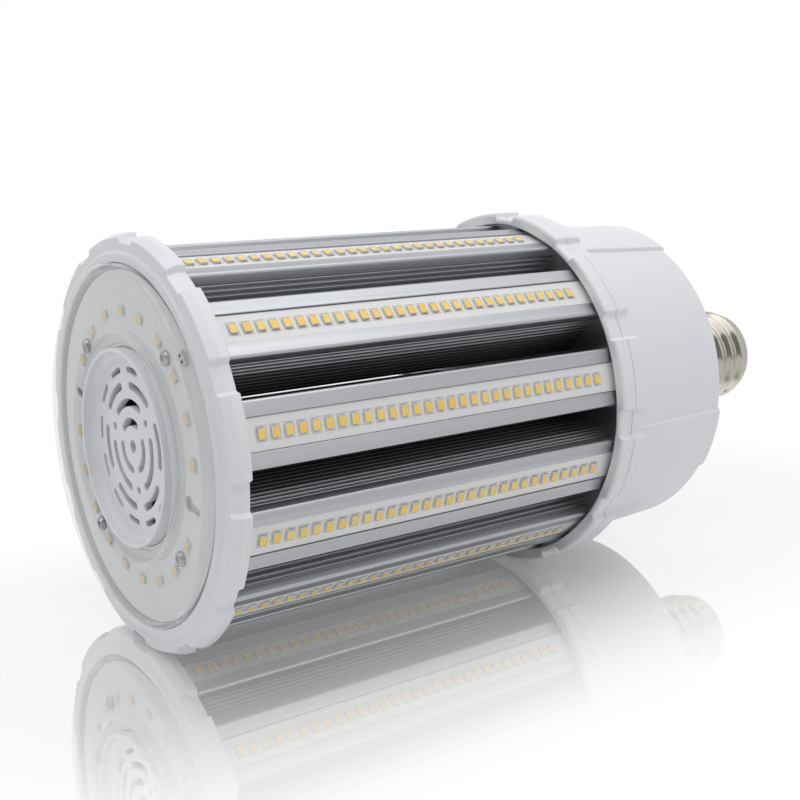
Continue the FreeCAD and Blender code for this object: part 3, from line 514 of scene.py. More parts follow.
# White for the camera and dim as a light. What metal and plastic mirror is white behind the lamp and
# darker on the camera's side.
def makeWorld():
    world = bpy.data.worlds.new("paleStudio")
    scene.world = world
    world.use_nodes = True
    tree = world.node_tree
    tree.nodes.clear()
    ray = addNode(tree, "ShaderNodeLightPath").outputs
    seen = maths(tree, "MAXIMUM", ray["Is Camera Ray"], ray["Is Transmission Ray"])
    plain = mapRange(tree, seen, 0.0, 1.0, studio["ambient"], 1.0)
    direction = addNode(tree, "ShaderNodeTexCoord").outputs["Generated"]
    side = addNode(tree, "ShaderNodeVectorMath", {0: direction, 1: studio["backdropSide"]},
                   operation="DOT_PRODUCT").outputs["Value"]
    mirrored = mapRange(tree, side, studio["sideFrom"], studio["sideTo"], studio["cameraSide"], 1.0, True)
    strength = addNode(tree, "ShaderNodeMix", {0: ray["Is Glossy Ray"], 2: plain, 3: mirrored},
                       data_type="FLOAT")
    light = addNode(tree, "ShaderNodeBackground", {"Color": (1, 1, 1, 1), "Strength": strength})
    output = tree.nodes.new("ShaderNodeOutputWorld")
    tree.links.new(light.outputs["Background"], output.inputs["Surface"])


# Pale floor that is white away from the lamp, with a soft mirror image that fades out in front of it
def makeFloor():
    material, tree, output = emptyMaterial("paleFloor")
    place = addNode(tree, "ShaderNodeTexCoord").outputs["Object"]
    parts = addNode(tree, "ShaderNodeSeparateXYZ", {"Vector": place}).outputs
    beyond = maths(tree, "SUBTRACT", maths(tree, "ABSOLUTE", parts["X"]), studio["lampHalf"])
    beyond = maths(tree, "MAXIMUM", beyond, 0.0)
    flat = addNode(tree, "ShaderNodeCombineXYZ", {"X": beyond, "Y": parts["Y"]})
    away = addNode(tree, "ShaderNodeVectorMath", {0: flat}, operation="LENGTH").outputs["Value"]
    mirror = mapRange(tree, away, studio["mirrorNear"], studio["mirrorFar"], studio["mirror"], 0.0, True)
    pale = mapRange(tree, away, studio["paleNear"], studio["paleFar"], studio["paleLeast"], 1.0, True)
    tone = studio["floorTone"]
    matt = addNode(tree, "ShaderNodeBsdfDiffuse", {"Color": (tone, tone, tone, 1)})
    gloss = addNode(tree, "ShaderNodeBsdfGlossy",
                    {"Color": (1, 1, 1, 1), "Roughness": studio["mirrorRoughness"]})
    white = addNode(tree, "ShaderNodeEmission", {"Color": (1, 1, 1, 1), "Strength": 1.0})
    base = mixShaders(tree, maths(tree, "MULTIPLY", pale, cameraLikeRays(tree)), matt, white)
    mix = mixShaders(tree, mirror, base, gloss)
    tree.links.new(mix.outputs["Shader"], output.inputs["Surface"])
    materials["paleFloor"] = material
    half = studio["floorHalf"]
    floor = addPiece("floor", boxLoop(-half, half, -half, half, 0), [(0, 1, 2, 3)], "paleFloor")


def makeLamps():
    for name, place, size, energy, mirrored in studio["lamps"]:
        light = bpy.data.lights.new(name, "AREA")
        light.shape = "RECTANGLE"
        light.size, light.size_y = size
        light.energy = energy
        lampObject = newObject(name, light)
        lampObject.location = place
        aim = Vector((0, 0, axisHeight)) - Vector(place)
        lampObject.rotation_euler = aim.to_track_quat("-Z", "Y").to_euler()
        lampObject.visible_glossy = mirrored
        lampObject.visible_camera = False


makeWorld()
makeFloor()
makeLamps()
print("camera, floor and light ready")

frontRing = {
    "seat": 5.7, "bore": 59.0, "lipFront": 3.4, "lipEdge": 61.8, "face": 4.4, "faceStart": 62.7,
    "shoulder": 66.6, "padStart": 7.6, "back": 10.8,
}


def padChange(extra, degrees):
    return -extra[0] * recessDepth(degrees)


def makeFrontRing(values):
    pad, bore = lamp["padRadius"], lamp["skirtBore"]
    outline = roundedOutline([
        (values["seat"], values["bore"], 0, 0),
        (values["lipFront"], values["bore"], 0.5, 0),
        (values["lipFront"], values["lipEdge"], 0.9, 0),
        (values["face"], values["faceStart"], 1.2, 0),
        (values["face"], values["shoulder"], 0.6, 0.8),
        (values["padStart"], pad, 1.0, 1),
        (values["back"], pad, 0.5, 1),
        (values["back"], bore, 0.3, 0),
        (values["seat"], bore, 0, 0),
    ])
    turnedPiece("frontRing", "front_ring", outline, padAngles(), "mouldedWhite", "white_plastic", padChange)


makeFrontRing(frontRing)
print("front ring done")

frontLens = {
    "radius": 58.7, "wall": 1.6, "depth": 5.65, "edgeRound": 1.3, "roll": 36.4, "rollRound": 2.4,
    "flangeFront": 3.7, "flangeBack": 4.66, "flangeEdge": 33.5, "steps": 220,
}


def makeFrontLens(values):
    radius, wall = values["radius"], values["wall"]
    roll = values["roll"]
    outline = roundedOutline([
        (values["depth"], radius, 0.1),
        (0, radius, values["edgeRound"]),
        (0, roll, values["rollRound"]),
        (values["flangeFront"], roll, 0.8),
        (values["flangeFront"], values["flangeEdge"], 0.3),
        (values["flangeBack"], values["flangeEdge"], 0.1),
        (values["flangeBack"], roll + wall, 0.1),
        (wall, roll + wall, 0.9),
        (wall, radius - wall, 0.5),
        (values["depth"], radius - wall, 0.1),
    ], stepAngle=11)
    angles = evenAngles(values["steps"])
    turnedPiece("frontLens", "front_lens", outline, angles, "clearCover", "clear_plastic")


makeFrontLens(frontLens)
print("clear cover done")

ventCup = {
    "rimFront": 0.35, "rimInside": 30.9, "rimOutside": 32.2, "floorFront": 4.6, "floorBack": 7.6,
    "rootRound": 2.8, "floorRadius": 26.7, "seat": 5.66, "spigot": 28.7, "steps": 180, "slotRound": 0.35,
    # radius, span, width, angle of the first, how many
    "slots": [
        (8.05, 75, 2.5, 105, 3),
        (14.3, 70, 2.5, 106, 3),
        (20.0, 36, 2.5, 17, 6),
        (25.1, 14, 1.9, 2.4, 12),
    ],
    "hub": 2.1, "hubSteps": 20, "dot": 1.25, "dotRadius": 14.3, "dotOffset": 60, "dots": 3,
    "weld": 0.00002, "sharpAngle": 50,
}


# Outline of a curved slot with round ends, in the plane that the grille is cut in
def slotOutline(radius, span, width, middle, stepAngle=5, endSteps=6):
    points = []
    half = width / 2
    steps = max(3, round(span / stepAngle))
    for step in range(steps + 1):
        points.append((radius + half, middle - span / 2 + span * step / steps))

    def endPoints(degrees, direction):
        for step in range(1, endSteps):
            turn = math.radians(180 * step / endSteps)
            out = half * math.cos(turn)
            past = math.degrees(half * math.sin(turn) / radius) * direction
            points.append((radius + out, degrees + past))

    endPoints(middle + span / 2, 1)
    for step in range(steps + 1):
        points.append((radius - half, middle + span / 2 - span * step / steps))
    last = len(points)
    endPoints(middle - span / 2, -1)
    points[last:] = reversed(points[last:])
    return [(r * mm * math.cos(math.radians(a)), -r * mm * math.sin(math.radians(a)), 0) for r, a in points]


def roundOutline(across, radius, steps=16):
    turns = [2 * math.pi * step / steps for step in range(steps)]
    return [(across * mm + radius * mm * math.cos(turn), radius * mm * math.sin(turn), 0) for turn in turns]


# The tree repeats each outline, fills between the holes, gives the floor its thickness and joins the wall
def makeGrilleTree(counts, weld):
    tree, given, output = newTree("piercedFloor", {
        "Floor radius": "Float", "Rim points": "Int", "Thickness": "Float", "Back": "Float"})
    mark = addNode(tree, "GeometryNodeInputNamedAttribute", {"Name": "slotRing"},
                   data_type="INT").outputs["Attribute"]
    index = addNode(tree, "GeometryNodeInputIndex")

    def marked(number):
        same = maths(tree, "COMPARE", mark, float(number), 0.1)
        return addNode(tree, "GeometryNodeSeparateGeometry",
                       {"Geometry": given["Geometry"], "Selection": same}, domain="POINT")

    rings = []
    for number, count in enumerate(counts, start=1):
        one = marked(number)
        spots = addNode(tree, "GeometryNodeMeshLine", {"Count": count, "Offset": (0, 0, 0)})
        turn = maths(tree, "MULTIPLY", index, -2 * math.pi / count)
        rotation = addNode(tree, "ShaderNodeCombineXYZ", {"Z": turn})
        copies = addNode(tree, "GeometryNodeInstanceOnPoints",
                         {"Points": spots, "Instance": one, "Rotation": rotation})
        rings.append(addNode(tree, "GeometryNodeRealizeInstances", {"Geometry": copies}))
    curves = addNode(tree, "GeometryNodeMeshToCurve", {"Mesh": joinGeometry(tree, *rings)})
    rim = addNode(tree, "GeometryNodeCurvePrimitiveCircle",
                  {"Resolution": given["Rim points"], "Radius": given["Floor radius"]})
    filled = addNode(tree, "GeometryNodeFillCurve", {"Curve": joinGeometry(tree, curves, rim)})
    upward = addNode(tree, "ShaderNodeCombineXYZ", {"Z": given["Thickness"]})
    raised = addNode(tree, "GeometryNodeExtrudeMesh",
                     {"Mesh": filled, "Offset": upward, "Offset Scale": 1.0, "Individual": False})
    centre = addNode(tree, "ShaderNodeCombineXYZ", {"X": given["Back"], "Z": given["Axis height"]})
    plate = joinGeometry(tree, filled, raised)
    placed = addNode(tree, "GeometryNodeTransform",
                     {"Geometry": plate, "Translation": centre, "Rotation": (0, -math.pi / 2, 0)})
    whole = joinGeometry(tree, placed, marked(0))
    merged = addNode(tree, "GeometryNodeMergeByDistance", {"Geometry": whole, "Distance": weld})
    return endTree(tree, merged, given, output)


def makeVentCup(values):
    inside, outside = values["rimInside"], values["rimOutside"]
    outline = roundedOutline([
        (values["floorFront"], values["floorRadius"], 0),
        (values["floorFront"], inside, values["rootRound"]),
        (values["rimFront"], inside, 0.45),
        (values["rimFront"], outside, 0.45),
        (values["seat"], outside, 0.2),
        (values["seat"], values["spigot"], 0),
        (values["floorBack"], values["spigot"], 0.3),
        (values["floorBack"], values["floorRadius"], 0),
    ], closed=False, stepAngle=11)
    points, faces = turnedShape(outline, evenAngles(values["steps"]), closed=False)
    marks = [0] * len(points)
    edges = []
    outlines = [slotOutline(*slot[:4]) for slot in values["slots"]]
    counts = [slot[4] for slot in values["slots"]]
    outlines.append(roundOutline(0, values["hub"], values["hubSteps"]))
    swing = Matrix.Rotation(-math.radians(values["slots"][1][3] + values["dotOffset"]), 3, "Z")
    outlines.append([swing @ Vector(point) for point in roundOutline(values["dotRadius"], values["dot"])])
    counts += [1, values["dots"]]
    for number, loop in enumerate(outlines, start=1):
        first = len(points)
        points += loop
        marks += [number] * len(loop)
        edges += [(first + step, first + (step + 1) % len(loop)) for step in range(len(loop))]
    piece = addPiece("ventCup", points, faces, "mouldedWhite", edges)
    attribute = piece.data.attributes.new("slotRing", "INT", "POINT")
    attribute.data.foreach_set("value", marks)
    front, back = values["floorFront"], values["floorBack"]
    applyTree(piece, makeGrilleTree(counts, values["weld"]), "mouldedWhite", {
        "Floor radius": values["floorRadius"] * mm, "Rim points": values["steps"],
        "Thickness": (back - front) * mm, "Back": station(back)})
    outwardFaces(piece, values["weld"])
    edging = piece.modifiers.new("slotEdges", "BEVEL")
    edging.width = values["slotRound"] * mm
    edging.segments = 2
    edging.limit_method = "ANGLE"
    edging.angle_limit = math.radians(values["sharpAngle"])
    keepResult(piece)
    finishPiece(piece, "white_plastic", "vent_grille")


makeVentCup(ventCup)
print("vent cup done")

frontBoard = {
    "front": 4.7, "back": 5.7, "outside": 56.8, "hole": 32.5, "steps": 160,
    "keyhole": 2.6, "keySlot": 1.5, "keyReach": 3.5, "keyRadius": 43.8, "keyAngles": (102, 282),
    "headSteps": 16, "slotSteps": 6, "screwRadius": 43.5, "screwHole": 1.6, "screwSteps": 16,
    "screwAngles": (39, 129, 219, 309), "edge": 0.08, "plateGap": 0.02, "weld": 0.000005,
}


# Flat plate across the axis, with holes, from closed loops of (across, up) points in millimetres
def flatPlate(name, loops, front, back, edge, weld, material):
    curve = bpy.data.curves.new(name, "CURVE")
    curve.dimensions = "2D"
    curve.fill_mode = "BOTH"
    curve.extrude = (back - front) / 2 * mm - edge * mm
    curve.bevel_depth = edge * mm
    curve.offset = -edge * mm
    curve.bevel_resolution = 1
    for loop in loops:
        spline = curve.splines.new("POLY")
        spline.points.add(len(loop) - 1)
        for point, (across, up) in zip(spline.points, loop):
            point.co = (across * mm, up * mm, 0, 1)
        spline.use_cyclic_u = True
    outlineObject = newObject(name, curve)
    graph = bpy.context.evaluated_depsgraph_get()
    mesh = bpy.data.meshes.new_from_object(outlineObject.evaluated_get(graph))
    bpy.data.objects.remove(outlineObject)
    mesh.name = name
    # across goes to -Y, up to +Z
    facing = Matrix(((0, 0, -1), (-1, 0, 0), (0, 1, 0))).to_4x4()
    mesh.transform(Matrix.Translation((station((front + back) / 2), 0, axisHeight)) @ facing)
    mesh.materials.clear()
    mesh.materials.append(materials[material])
    piece = newObject(name, mesh)
    outwardFaces(piece, weld)
    return piece


def turnedLoop(loop, degrees):
    turn = math.radians(degrees)
    cosine, sine = math.cos(turn), math.sin(turn)
    return [(x * cosine + y * sine, -x * sine + y * cosine) for x, y in loop]


def circleLoop(radius, steps, up=0.0):
    turns = [2 * math.pi * step / steps for step in range(steps)]
    return [(radius * math.sin(turn), up + radius * math.cos(turn)) for turn in turns]


def keyholeLoop(values):
    low = values["keyRadius"] - values["keyReach"]
    high = values["keyRadius"] + values["keyReach"]
    wide, narrow = values["keyhole"], values["keySlot"]
    headSteps, slotSteps = values["headSteps"], values["slotSteps"]
    neck = math.degrees(math.asin(narrow / wide))
    loop = []
    for step in range(headSteps + 1):
        turn = math.radians(neck + (360 - 2 * neck) * step / headSteps)
        loop.append((wide * math.sin(turn), low + wide * math.cos(turn)))
    for step in range(slotSteps + 1):
        turn = math.radians(-90 + 180 * step / slotSteps)
        loop.append((narrow * math.sin(turn), high + narrow * math.cos(turn) - narrow))
    return loop


def makeFrontBoard(values):
    loops = [circleLoop(values["outside"], values["steps"]), circleLoop(values["hole"], values["steps"])]
    loops += [turnedLoop(keyholeLoop(values), angle) for angle in values["keyAngles"]]
    hole = circleLoop(values["screwHole"], values["screwSteps"], values["screwRadius"])
    loops += [turnedLoop(hole, angle) for angle in values["screwAngles"]]
    piece = flatPlate("frontBoard", loops, values["front"], values["back"] - values["plateGap"],
                      values["edge"], values["weld"], "boardWhite")
    finishPiece(piece, "board_white", "front_board")


makeFrontBoard(frontBoard)
print("front board done")

diode = {
    "along": 1.4, "across": 1.75, "height": 0.8, "draft": 0.07, "chamfer": 0.08, "corner": 0.12,
    "windowAlong": 1.14, "windowAcross": 1.48, "windowCorner": 0.22, "windowDraft": 0.06, "sunk": 0.12,
    "gelGap": 0.03, "gelLift": 0.01, "gelWall": 0.04, "dome": 0.05, "domeAlong": 0.72, "domeAcross": 0.76,
    "tabAlong": 1.05, "tabInside": 1.3, "tabOutside": 2.0, "tabHeight": 0.14,
    "tabDraft": 0.1, "tabHeel": 0.05, "tabToe": 0.12,
    "edgeAlong": 1.80, "edgeAcross": 2.34, "edgeWidth": 0.08, "edgeHeight": 0.03, "sharpFrom": 30,
}


# Rectangle with cut corners
def squareLoop(along, across, up, corner):
    return [(-along + corner, -across, up), (along - corner, -across, up), (along, -across + corner, up),
            (along, across - corner, up), (along - corner, across, up), (-along + corner, across, up),
            (-along, across - corner, up), (-along, -across + corner, up)]


# Closed shape through loops that all have the same number of points
def loftShape(loops):
    points = [point for loop in loops for point in loop]
    count = len(loops[0])
    faces = [tuple(range(count))[::-1]]
    for level in range(len(loops) - 1):
        for step in range(count):
            after = (step + 1) % count
            faces.append((level * count + step, level * count + after,
                          (level + 1) * count + after, (level + 1) * count + step))
    faces.append(tuple(range((len(loops) - 1) * count, len(loops) * count)))
    return points, faces


def joinShapes(*shapes):
    points, faces = [], []
    for shapePoints, shapeFaces in shapes:
        first = len(points)
        points += shapePoints
        faces += [tuple(first + index for index in face) for face in shapeFaces]
    return points, faces


def blockShape(lowCorner, highCorner):
    (ax, ay, az), (bx, by, bz) = lowCorner, highCorner
    return loftShape([boxLoop(ax, bx, ay, by, az), boxLoop(ax, bx, ay, by, bz)])


def diodeCase(values):
    along, across, height = values["along"], values["across"], values["height"]
    corner, draft, chamfer = values["corner"], values["draft"], values["chamfer"]
    holeAlong, holeAcross, holeDraft = values["windowAlong"], values["windowAcross"], values["windowDraft"]
    holeCorner, low = values["windowCorner"], height - values["sunk"]
    return loftShape([
        squareLoop(along, across, 0.0, corner),
        squareLoop(along - draft, across - draft, height - chamfer, corner),
        squareLoop(along - draft - chamfer, across - draft - chamfer, height, corner),
        squareLoop(holeAlong, holeAcross, height, holeCorner),
        squareLoop(holeAlong - holeDraft, holeAcross - holeDraft, low, holeCorner),
    ])


def diodeWindow(values):
    along, across = values["windowAlong"] - values["gelGap"], values["windowAcross"] - values["gelGap"]
    low = values["height"] - values["sunk"] + values["gelLift"]
    corner, high = values["windowCorner"], low + values["gelWall"]
    domeAlong, domeAcross = along * values["domeAlong"], across * values["domeAcross"]
    return loftShape([
        squareLoop(along, across, low, corner),
        squareLoop(along, across, high, corner),
        squareLoop(domeAlong, domeAcross, high + values["dome"], corner),
    ])


def diodeTabs(values):
    inside, outside, half = values["tabInside"], values["tabOutside"], values["tabAlong"]
    topHalf, top = half - values["tabDraft"], values["tabHeight"]
    sides = []
    for side in (1, -1):
        low, high = sorted((side * inside, side * outside))
        topLow, topHigh = low + values["tabHeel"], high - values["tabToe"]
        sides.append(loftShape([boxLoop(-half, half, low, high, 0),
                                boxLoop(-topHalf, topHalf, topLow, topHigh, top)]))
    return joinShapes(*sides)


def diodeEdge(values):
    along, across, height = values["edgeAlong"], values["edgeAcross"], values["edgeHeight"]
    inAlong, inAcross = along - values["edgeWidth"], across - values["edgeWidth"]
    return joinShapes(
        blockShape((-along, -across, 0), (along, -inAcross, height)),
        blockShape((-along, inAcross, 0), (along, across, height)),
        blockShape((-along, -inAcross, 0), (-inAlong, inAcross, height)),
        blockShape((inAlong, -inAcross, 0), (along, inAcross, height)))


# What an LED is drawn from: label, shape, finish.
diodeParts = [
    ("Cases", diodeCase, "diodeCase"),
    ("Windows", diodeWindow, "amberGel"),
    ("Tabs", diodeTabs, "solderTin"),
    ("PadEdges", diodeEdge, "maskEdge"),
]
strip = {
    "floor": 61.0, "lift": 0.01, "top": 62.0, "halfWidth": 5.0, "inset": 0.5, "edge": 0.1,
    "firstDiode": 17.95, "pitch": 4.6, "count": 30, "seed": 4,
}
# Twenty places, of which the sixth and the sixteenth stay empty
frontDiodes = {"radius": 43.8, "first": 12, "step": 18, "places": 20, "skipEvery": 10, "skipped": 5}


# A shape that stands on a bar's board: along X, across Y, up from the board
def onStrip(shape):
    points, faces = shape
    start = station(strip["firstDiode"])
    return [(start + x * mm, y * mm, (strip["top"] + z) * mm) for x, y, z in points], faces


# The same shape on the front board, facing the lens
def onFrontBoard(shape, radius=frontDiodes["radius"]):
    points, faces = shape
    face = station(frontBoard["front"])
    return [(face - z * mm, y * mm, (radius + x) * mm) for x, y, z in points], faces


def makeDiodes():
    for label, shapeOf, material in diodeParts:
        cases = label == "Cases"
        ringPiece(f"barDiode{label}", barNodes("leds") if cases else (), onStrip(shapeOf(diode)),
                  aroundBars, material, "diode_amber", diode["sharpFrom"],
                  rows=strip["count"], rowPitch=strip["pitch"], seed=strip["seed"])
        around = frontDiodes["places"], frontDiodes["first"], frontDiodes["step"]
        ringPiece(f"frontDiode{label}", ("front_leds",) if cases else (), onFrontBoard(shapeOf(diode)),
                  around, material, "diode_amber", diode["sharpFrom"],
                  skipEvery=frontDiodes["skipEvery"], skipped=frontDiodes["skipped"])


makeDiodes()
print("diodes done")


def makeStrips(values):
    start, end = lamp["barFront"] + values["inset"], lamp["barRear"] - values["inset"]
    low, high, edge = values["floor"] + values["lift"], values["top"], values["edge"]
    loops = []
    for inset, up in ((0, low), (0, high - edge), (edge, high)):
        half = values["halfWidth"] - inset
        corners = boxLoop(start + inset, end - inset, -half, half, up)
        loops.append([(station(along), across * mm, high * mm) for along, across, high in corners])
    ringPiece("barBoards", barNodes("led_board"), loftShape(loops), aroundBars, "boardWhite", "board_white")


makeStrips(strip)
print("bar boards done")

bar = {
    "face": 62.6, "half": 10.2, "edgeRound": 1.0, "channelHalf": 5.15, "channelFloor": 61.0, "wall": 1.6,
    "bandEnd": 59.5, "bandGap": 0.9, "bandStep": 0.1, "firstGroove": 1.1, "inside": 39.65, "ridges": 10,
    # where a ridge ends and its groove runs, as shares of the pitch
    "ridgeEnd": 0.55, "grooveStart": 0.62, "grooveEnd": 0.93,
    "grooveDepth": 0.45, "deepGrooves": 3, "shallowDepth": 0.14,
    "portHalf": 2.9, "portInside": 1.5, "portDepth": 5.0, "sharpFrom": 30,
}


# Half of the section, from the channel round the ridged side to the screw port
def barHalf(values):
    half, face, inside, bandEnd = values["half"], values["face"], values["inside"], values["bandEnd"]
    web = values["channelFloor"] - values["wall"]
    inner = half - values["wall"]
    top = bandEnd - values["bandGap"]
    corners = [
        (values["channelHalf"], values["channelFloor"], 0), (values["channelHalf"], face, 0.25),
        (half, face, values["edgeRound"]), (half, bandEnd, 0.15),
        (half - values["firstGroove"], bandEnd - values["bandStep"], 0.12),
        (half - values["firstGroove"], top, 0.12),
    ]
    pitch = (top - inside) / values["ridges"]
    for ridge in range(values["ridges"]):
        high = top - ridge * pitch
        corners.append((half, high, 0.25))
        corners.append((half, high - pitch * values["ridgeEnd"], 0.25))
        groove = values["grooveDepth"] if ridge < values["deepGrooves"] else values["shallowDepth"]
        if ridge < values["ridges"] - 1:
            corners.append((half - groove, high - pitch * values["grooveStart"], 0.1))
            corners.append((half - groove, high - pitch * values["grooveEnd"], 0.1))
    corners[-1] = (half, inside, 0.3)
    portEnd = web - values["portDepth"]
    corners += [
        (inner, inside, 0.3), (inner, web, 0.4), (values["portHalf"], web, 0.3),
        (values["portHalf"], portEnd, 0.2), (values["portInside"], portEnd, 0.2),
        (values["portInside"], web, 0.2),
    ]
    return corners


def makeBars(values):
    right = barHalf(values)
    left = [(-across, up, roundness) for across, up, roundness in right[::-1]]
    section = roundedOutline(right + left, stepAngle=24)
    ends = station(lamp["barFront"]), station(lamp["barRear"])
    shape = loftShape([[(along, across * mm, up * mm) for across, up in section] for along in ends])
    ringPiece("heatSinkBars", barNodes("heat_sink_bar"), shape, aroundBars, "extrudedAluminium",
              "light_aluminium", values["sharpFrom"])


makeBars(bar)
print("heat sink bars done")

boardScrew = {
    "head": 2.5, "height": 1.7, "shank": 1.45, "length": 3.9, "sides": 28,
    # the head's outline, as shares of its radius and height
    "domed": [(0.82, 0.84), (0.97, 0.52), (1, 0.2), (0.98, 0)],
    "cross": 1.45, "crossHalf": 0.36, "crossDepth": 0.9, "crossRim": (1.05, 0.98), "crossOver": 0.3,
    "crossFoot": (0.55, 0.8),   # how much of its length and width the cross keeps at its foot
}


def uprightPoint(up, radius, degrees):
    turn = math.radians(degrees)
    return Vector((radius * math.cos(turn), radius * math.sin(turn), up))


# Pan head with a cross recess, standing on z = 0 with its shank below
def screwShape(values):
    head, height, reach, half = values["head"], values["height"], values["cross"], values["crossHalf"]
    rimOut, rimUp = values["crossRim"]
    outline = [(height, 0), (height * rimUp, reach * rimOut)]
    outline += [(height * up, head * out) for out, up in values["domed"]]
    outline += [(0, values["shank"]), (-values["length"], values["shank"]), (-values["length"], 0)]
    shape = turnedShape(outline, evenAngles(values["sides"]), closed=False, place=uprightPoint)
    blank = addPiece("screwBlank", *shape, "screwSteel")
    outwardFaces(blank)
    low, high = height - values["crossDepth"], height + values["crossOver"]
    lengthShare, widthShare = values["crossFoot"]
    cutters = []
    for wide, deep, wideShare, deepShare in ((reach, half, lengthShare, widthShare),
                                             (half, reach, widthShare, lengthShare)):
        footWide, footDeep = wide * wideShare, deep * deepShare
        cross = loftShape([boxLoop(-footWide, footWide, -footDeep, footDeep, low),
                           boxLoop(-wide, wide, -deep, deep, high)])
        cutter = addPiece("crossCutter", *cross, "screwSteel")
        cut = blank.modifiers.new("cross", "BOOLEAN")
        cut.operation = "DIFFERENCE"
        cut.solver = "EXACT"
        cut.object = cutter
        cutters.append(cutter)
    keepResult(blank)
    points = [tuple(vertex.co) for vertex in blank.data.vertices]
    faces = [tuple(face.vertices) for face in blank.data.polygons]
    for item in cutters + [blank]:
        bpy.data.objects.remove(item)
    return points, faces


def makeBoardScrews(values):
    angles = frontBoard["screwAngles"]
    around = len(angles), angles[0], angles[1] - angles[0]
    shape = onFrontBoard(screwShape(values), frontBoard["screwRadius"])
    ringPiece("boardScrews", ("front_screws",), shape, around, "screwSteel", "bright_steel")


makeBoardScrews(boardScrew)

connector = {
    "angle": 48, "radius": 53.8, "halfWidth": 2.1, "halfDepth": 1.2, "height": 1.6,
    "corner": 0.2, "bevel": 0.15,
    # A contact's half width, and how far it stands over the body. The other four are shares: its middle of
    # the body's half width, its reach at foot and top of the half depth, its width that is left at the top,
    # and the body's height where it starts.
    "pin": 0.6, "pinOver": 0.06, "pinMiddle": 0.48, "pinReach": (0.7, 0.6), "pinTaper": 0.8, "pinFoot": 0.9,
}


def makeConnector(values):
    width, depth, height = values["halfDepth"], values["halfWidth"], values["height"]
    corner, bevel, pin = values["corner"], values["bevel"], values["pin"]
    body = loftShape([squareLoop(width, depth, 0, corner), squareLoop(width, depth, height - bevel, corner),
                      squareLoop(width - bevel, depth - bevel, height, corner)])
    around = 1, values["angle"], 0
    ringPiece("connectorBody", ("board_connector",), onFrontBoard(body, values["radius"]), around,
              "connectorIvory", "dark_plastic")
    foot, top = (width * share for share in values["pinReach"])
    pins = []
    for side in (-1, 1):
        middle = side * depth * values["pinMiddle"]
        narrow = pin * values["pinTaper"]
        pins.append(loftShape([
            boxLoop(-foot, foot, middle - pin, middle + pin, height * values["pinFoot"]),
            boxLoop(-top, top, middle - narrow, middle + narrow, height + values["pinOver"])]))
    ringPiece("connectorContacts", (), onFrontBoard(joinShapes(*pins), values["radius"]), around,
              "contactDark", "dark_plastic")


makeConnector(connector)
print("screws and connector done")

rearCollar = {"front": 158.0, "webFront": 162.65, "parting": 163.7, "webBore": 52.0}


def makeRearCollar(values):
    pad, bore = lamp["padRadius"], lamp["skirtBore"]
    outline = roundedOutline([
        (values["front"], bore, 0.5, 0),
        (values["front"], pad, 1.5, 1),
        (values["parting"], pad, 0.35, 1),
        (values["parting"], values["webBore"], 0.2, 0),
        (values["webFront"], values["webBore"], 0.2, 0),
        (values["webFront"], bore, 0, 0),
    ])
    turnedPiece("rearCollar", "rear_collar", outline, padAngles(), "mouldedWhite", "white_plastic",
                padChange)


makeRearCollar(rearCollar)
print("rear collar done")

housing = {
    "parting": 163.86, "flangeBack": 170.2, "barrelFront": 61.9, "barrelEnd": 218.3, "barrelRear": 60.0,
    "neckStart": 232.3, "neck": 20.8, "capStart": 249.0, "spigotEnd": 267.0, "shellBore": 17.2, "wall": 2.2,
    "endRound": 3.0, "neckRound": 4.0, "gap": 0.05, "ribPast": 3.2,
    "ribHeight": 1.2, "ribFirst": 15, "ribStep": 90, "ribHalf": 11.5, "ribSlope": 0.5,
}


def ribHeight(degrees):
    offset = offsetFrom(degrees, housing["ribFirst"], housing["ribStep"])
    half, slope = housing["ribHalf"], housing["ribSlope"]
    return housing["ribHeight"] * ease((half + slope - offset) / (2 * slope))


def housingChange(extra, degrees):
    return extra[1] * ribHeight(degrees) - extra[0] * recessDepth(degrees)


def makeHousing(values):
    wall, bore, neck, gap, past = (values[key] for key in ("wall", "shellBore", "neck", "gap", "ribPast"))
    slope = (values["barrelRear"] - neck) / (values["neckStart"] - values["barrelEnd"])
    corners = [
        (values["parting"], values["barrelFront"] - wall, 0, 0, 0),
        (values["parting"], lamp["padRadius"], 0.35, 1, 0),
        (values["flangeBack"], lamp["padRadius"], 1.1, 1, 0),
        (values["flangeBack"], values["barrelFront"] + gap, 0.6, 0, 1),
        (values["barrelEnd"], values["barrelRear"], values["endRound"], 0, 1),
        (values["barrelEnd"] + past, values["barrelRear"] - past * slope, 0, 0, 0),
        (values["neckStart"], neck, values["neckRound"], 0, 0),
        (values["capStart"] - gap, neck, 0.7, 0, 0),
        (values["capStart"] - gap, bore, 0, 0, 0),
        (values["spigotEnd"], bore, 0.5, 0, 0),
        (values["spigotEnd"], bore - wall, 0.5, 0, 0),
        (values["capStart"] - wall, bore - wall, 0, 0, 0),
        (values["capStart"] - wall, neck - wall, 0, 0, 0),
        (values["neckStart"] - wall, neck - wall, 0, 0, 0),
        (values["barrelEnd"] - wall, values["barrelRear"] - wall, 0, 0, 0),
    ]
    outline = roundedOutline(corners, stepAngle=14)
    turnedPiece("driverHousing", "driver_housing", outline, padAngles(), "mouldedWhite", "white_plastic",
                housingChange)


makeHousing(housing)
print("driver housing done")

capShell = {
    "start": 249.0, "end": 288.0, "root": 17.85, "crest": 19.75, "pitch": 6.35, "turns": 4.65,
    "threadStart": 5.8, "fade": 0.35, "wall": 0.55, "endRadius": 14.6, "endRound": 1.6, "endSteps": 6,
    "around": 120, "along": 150, "lip": 0.6, "lipGap": 0.05, "lipRise": 0.25, "weld": 0.00001,
    "sharpFrom": 50,
}


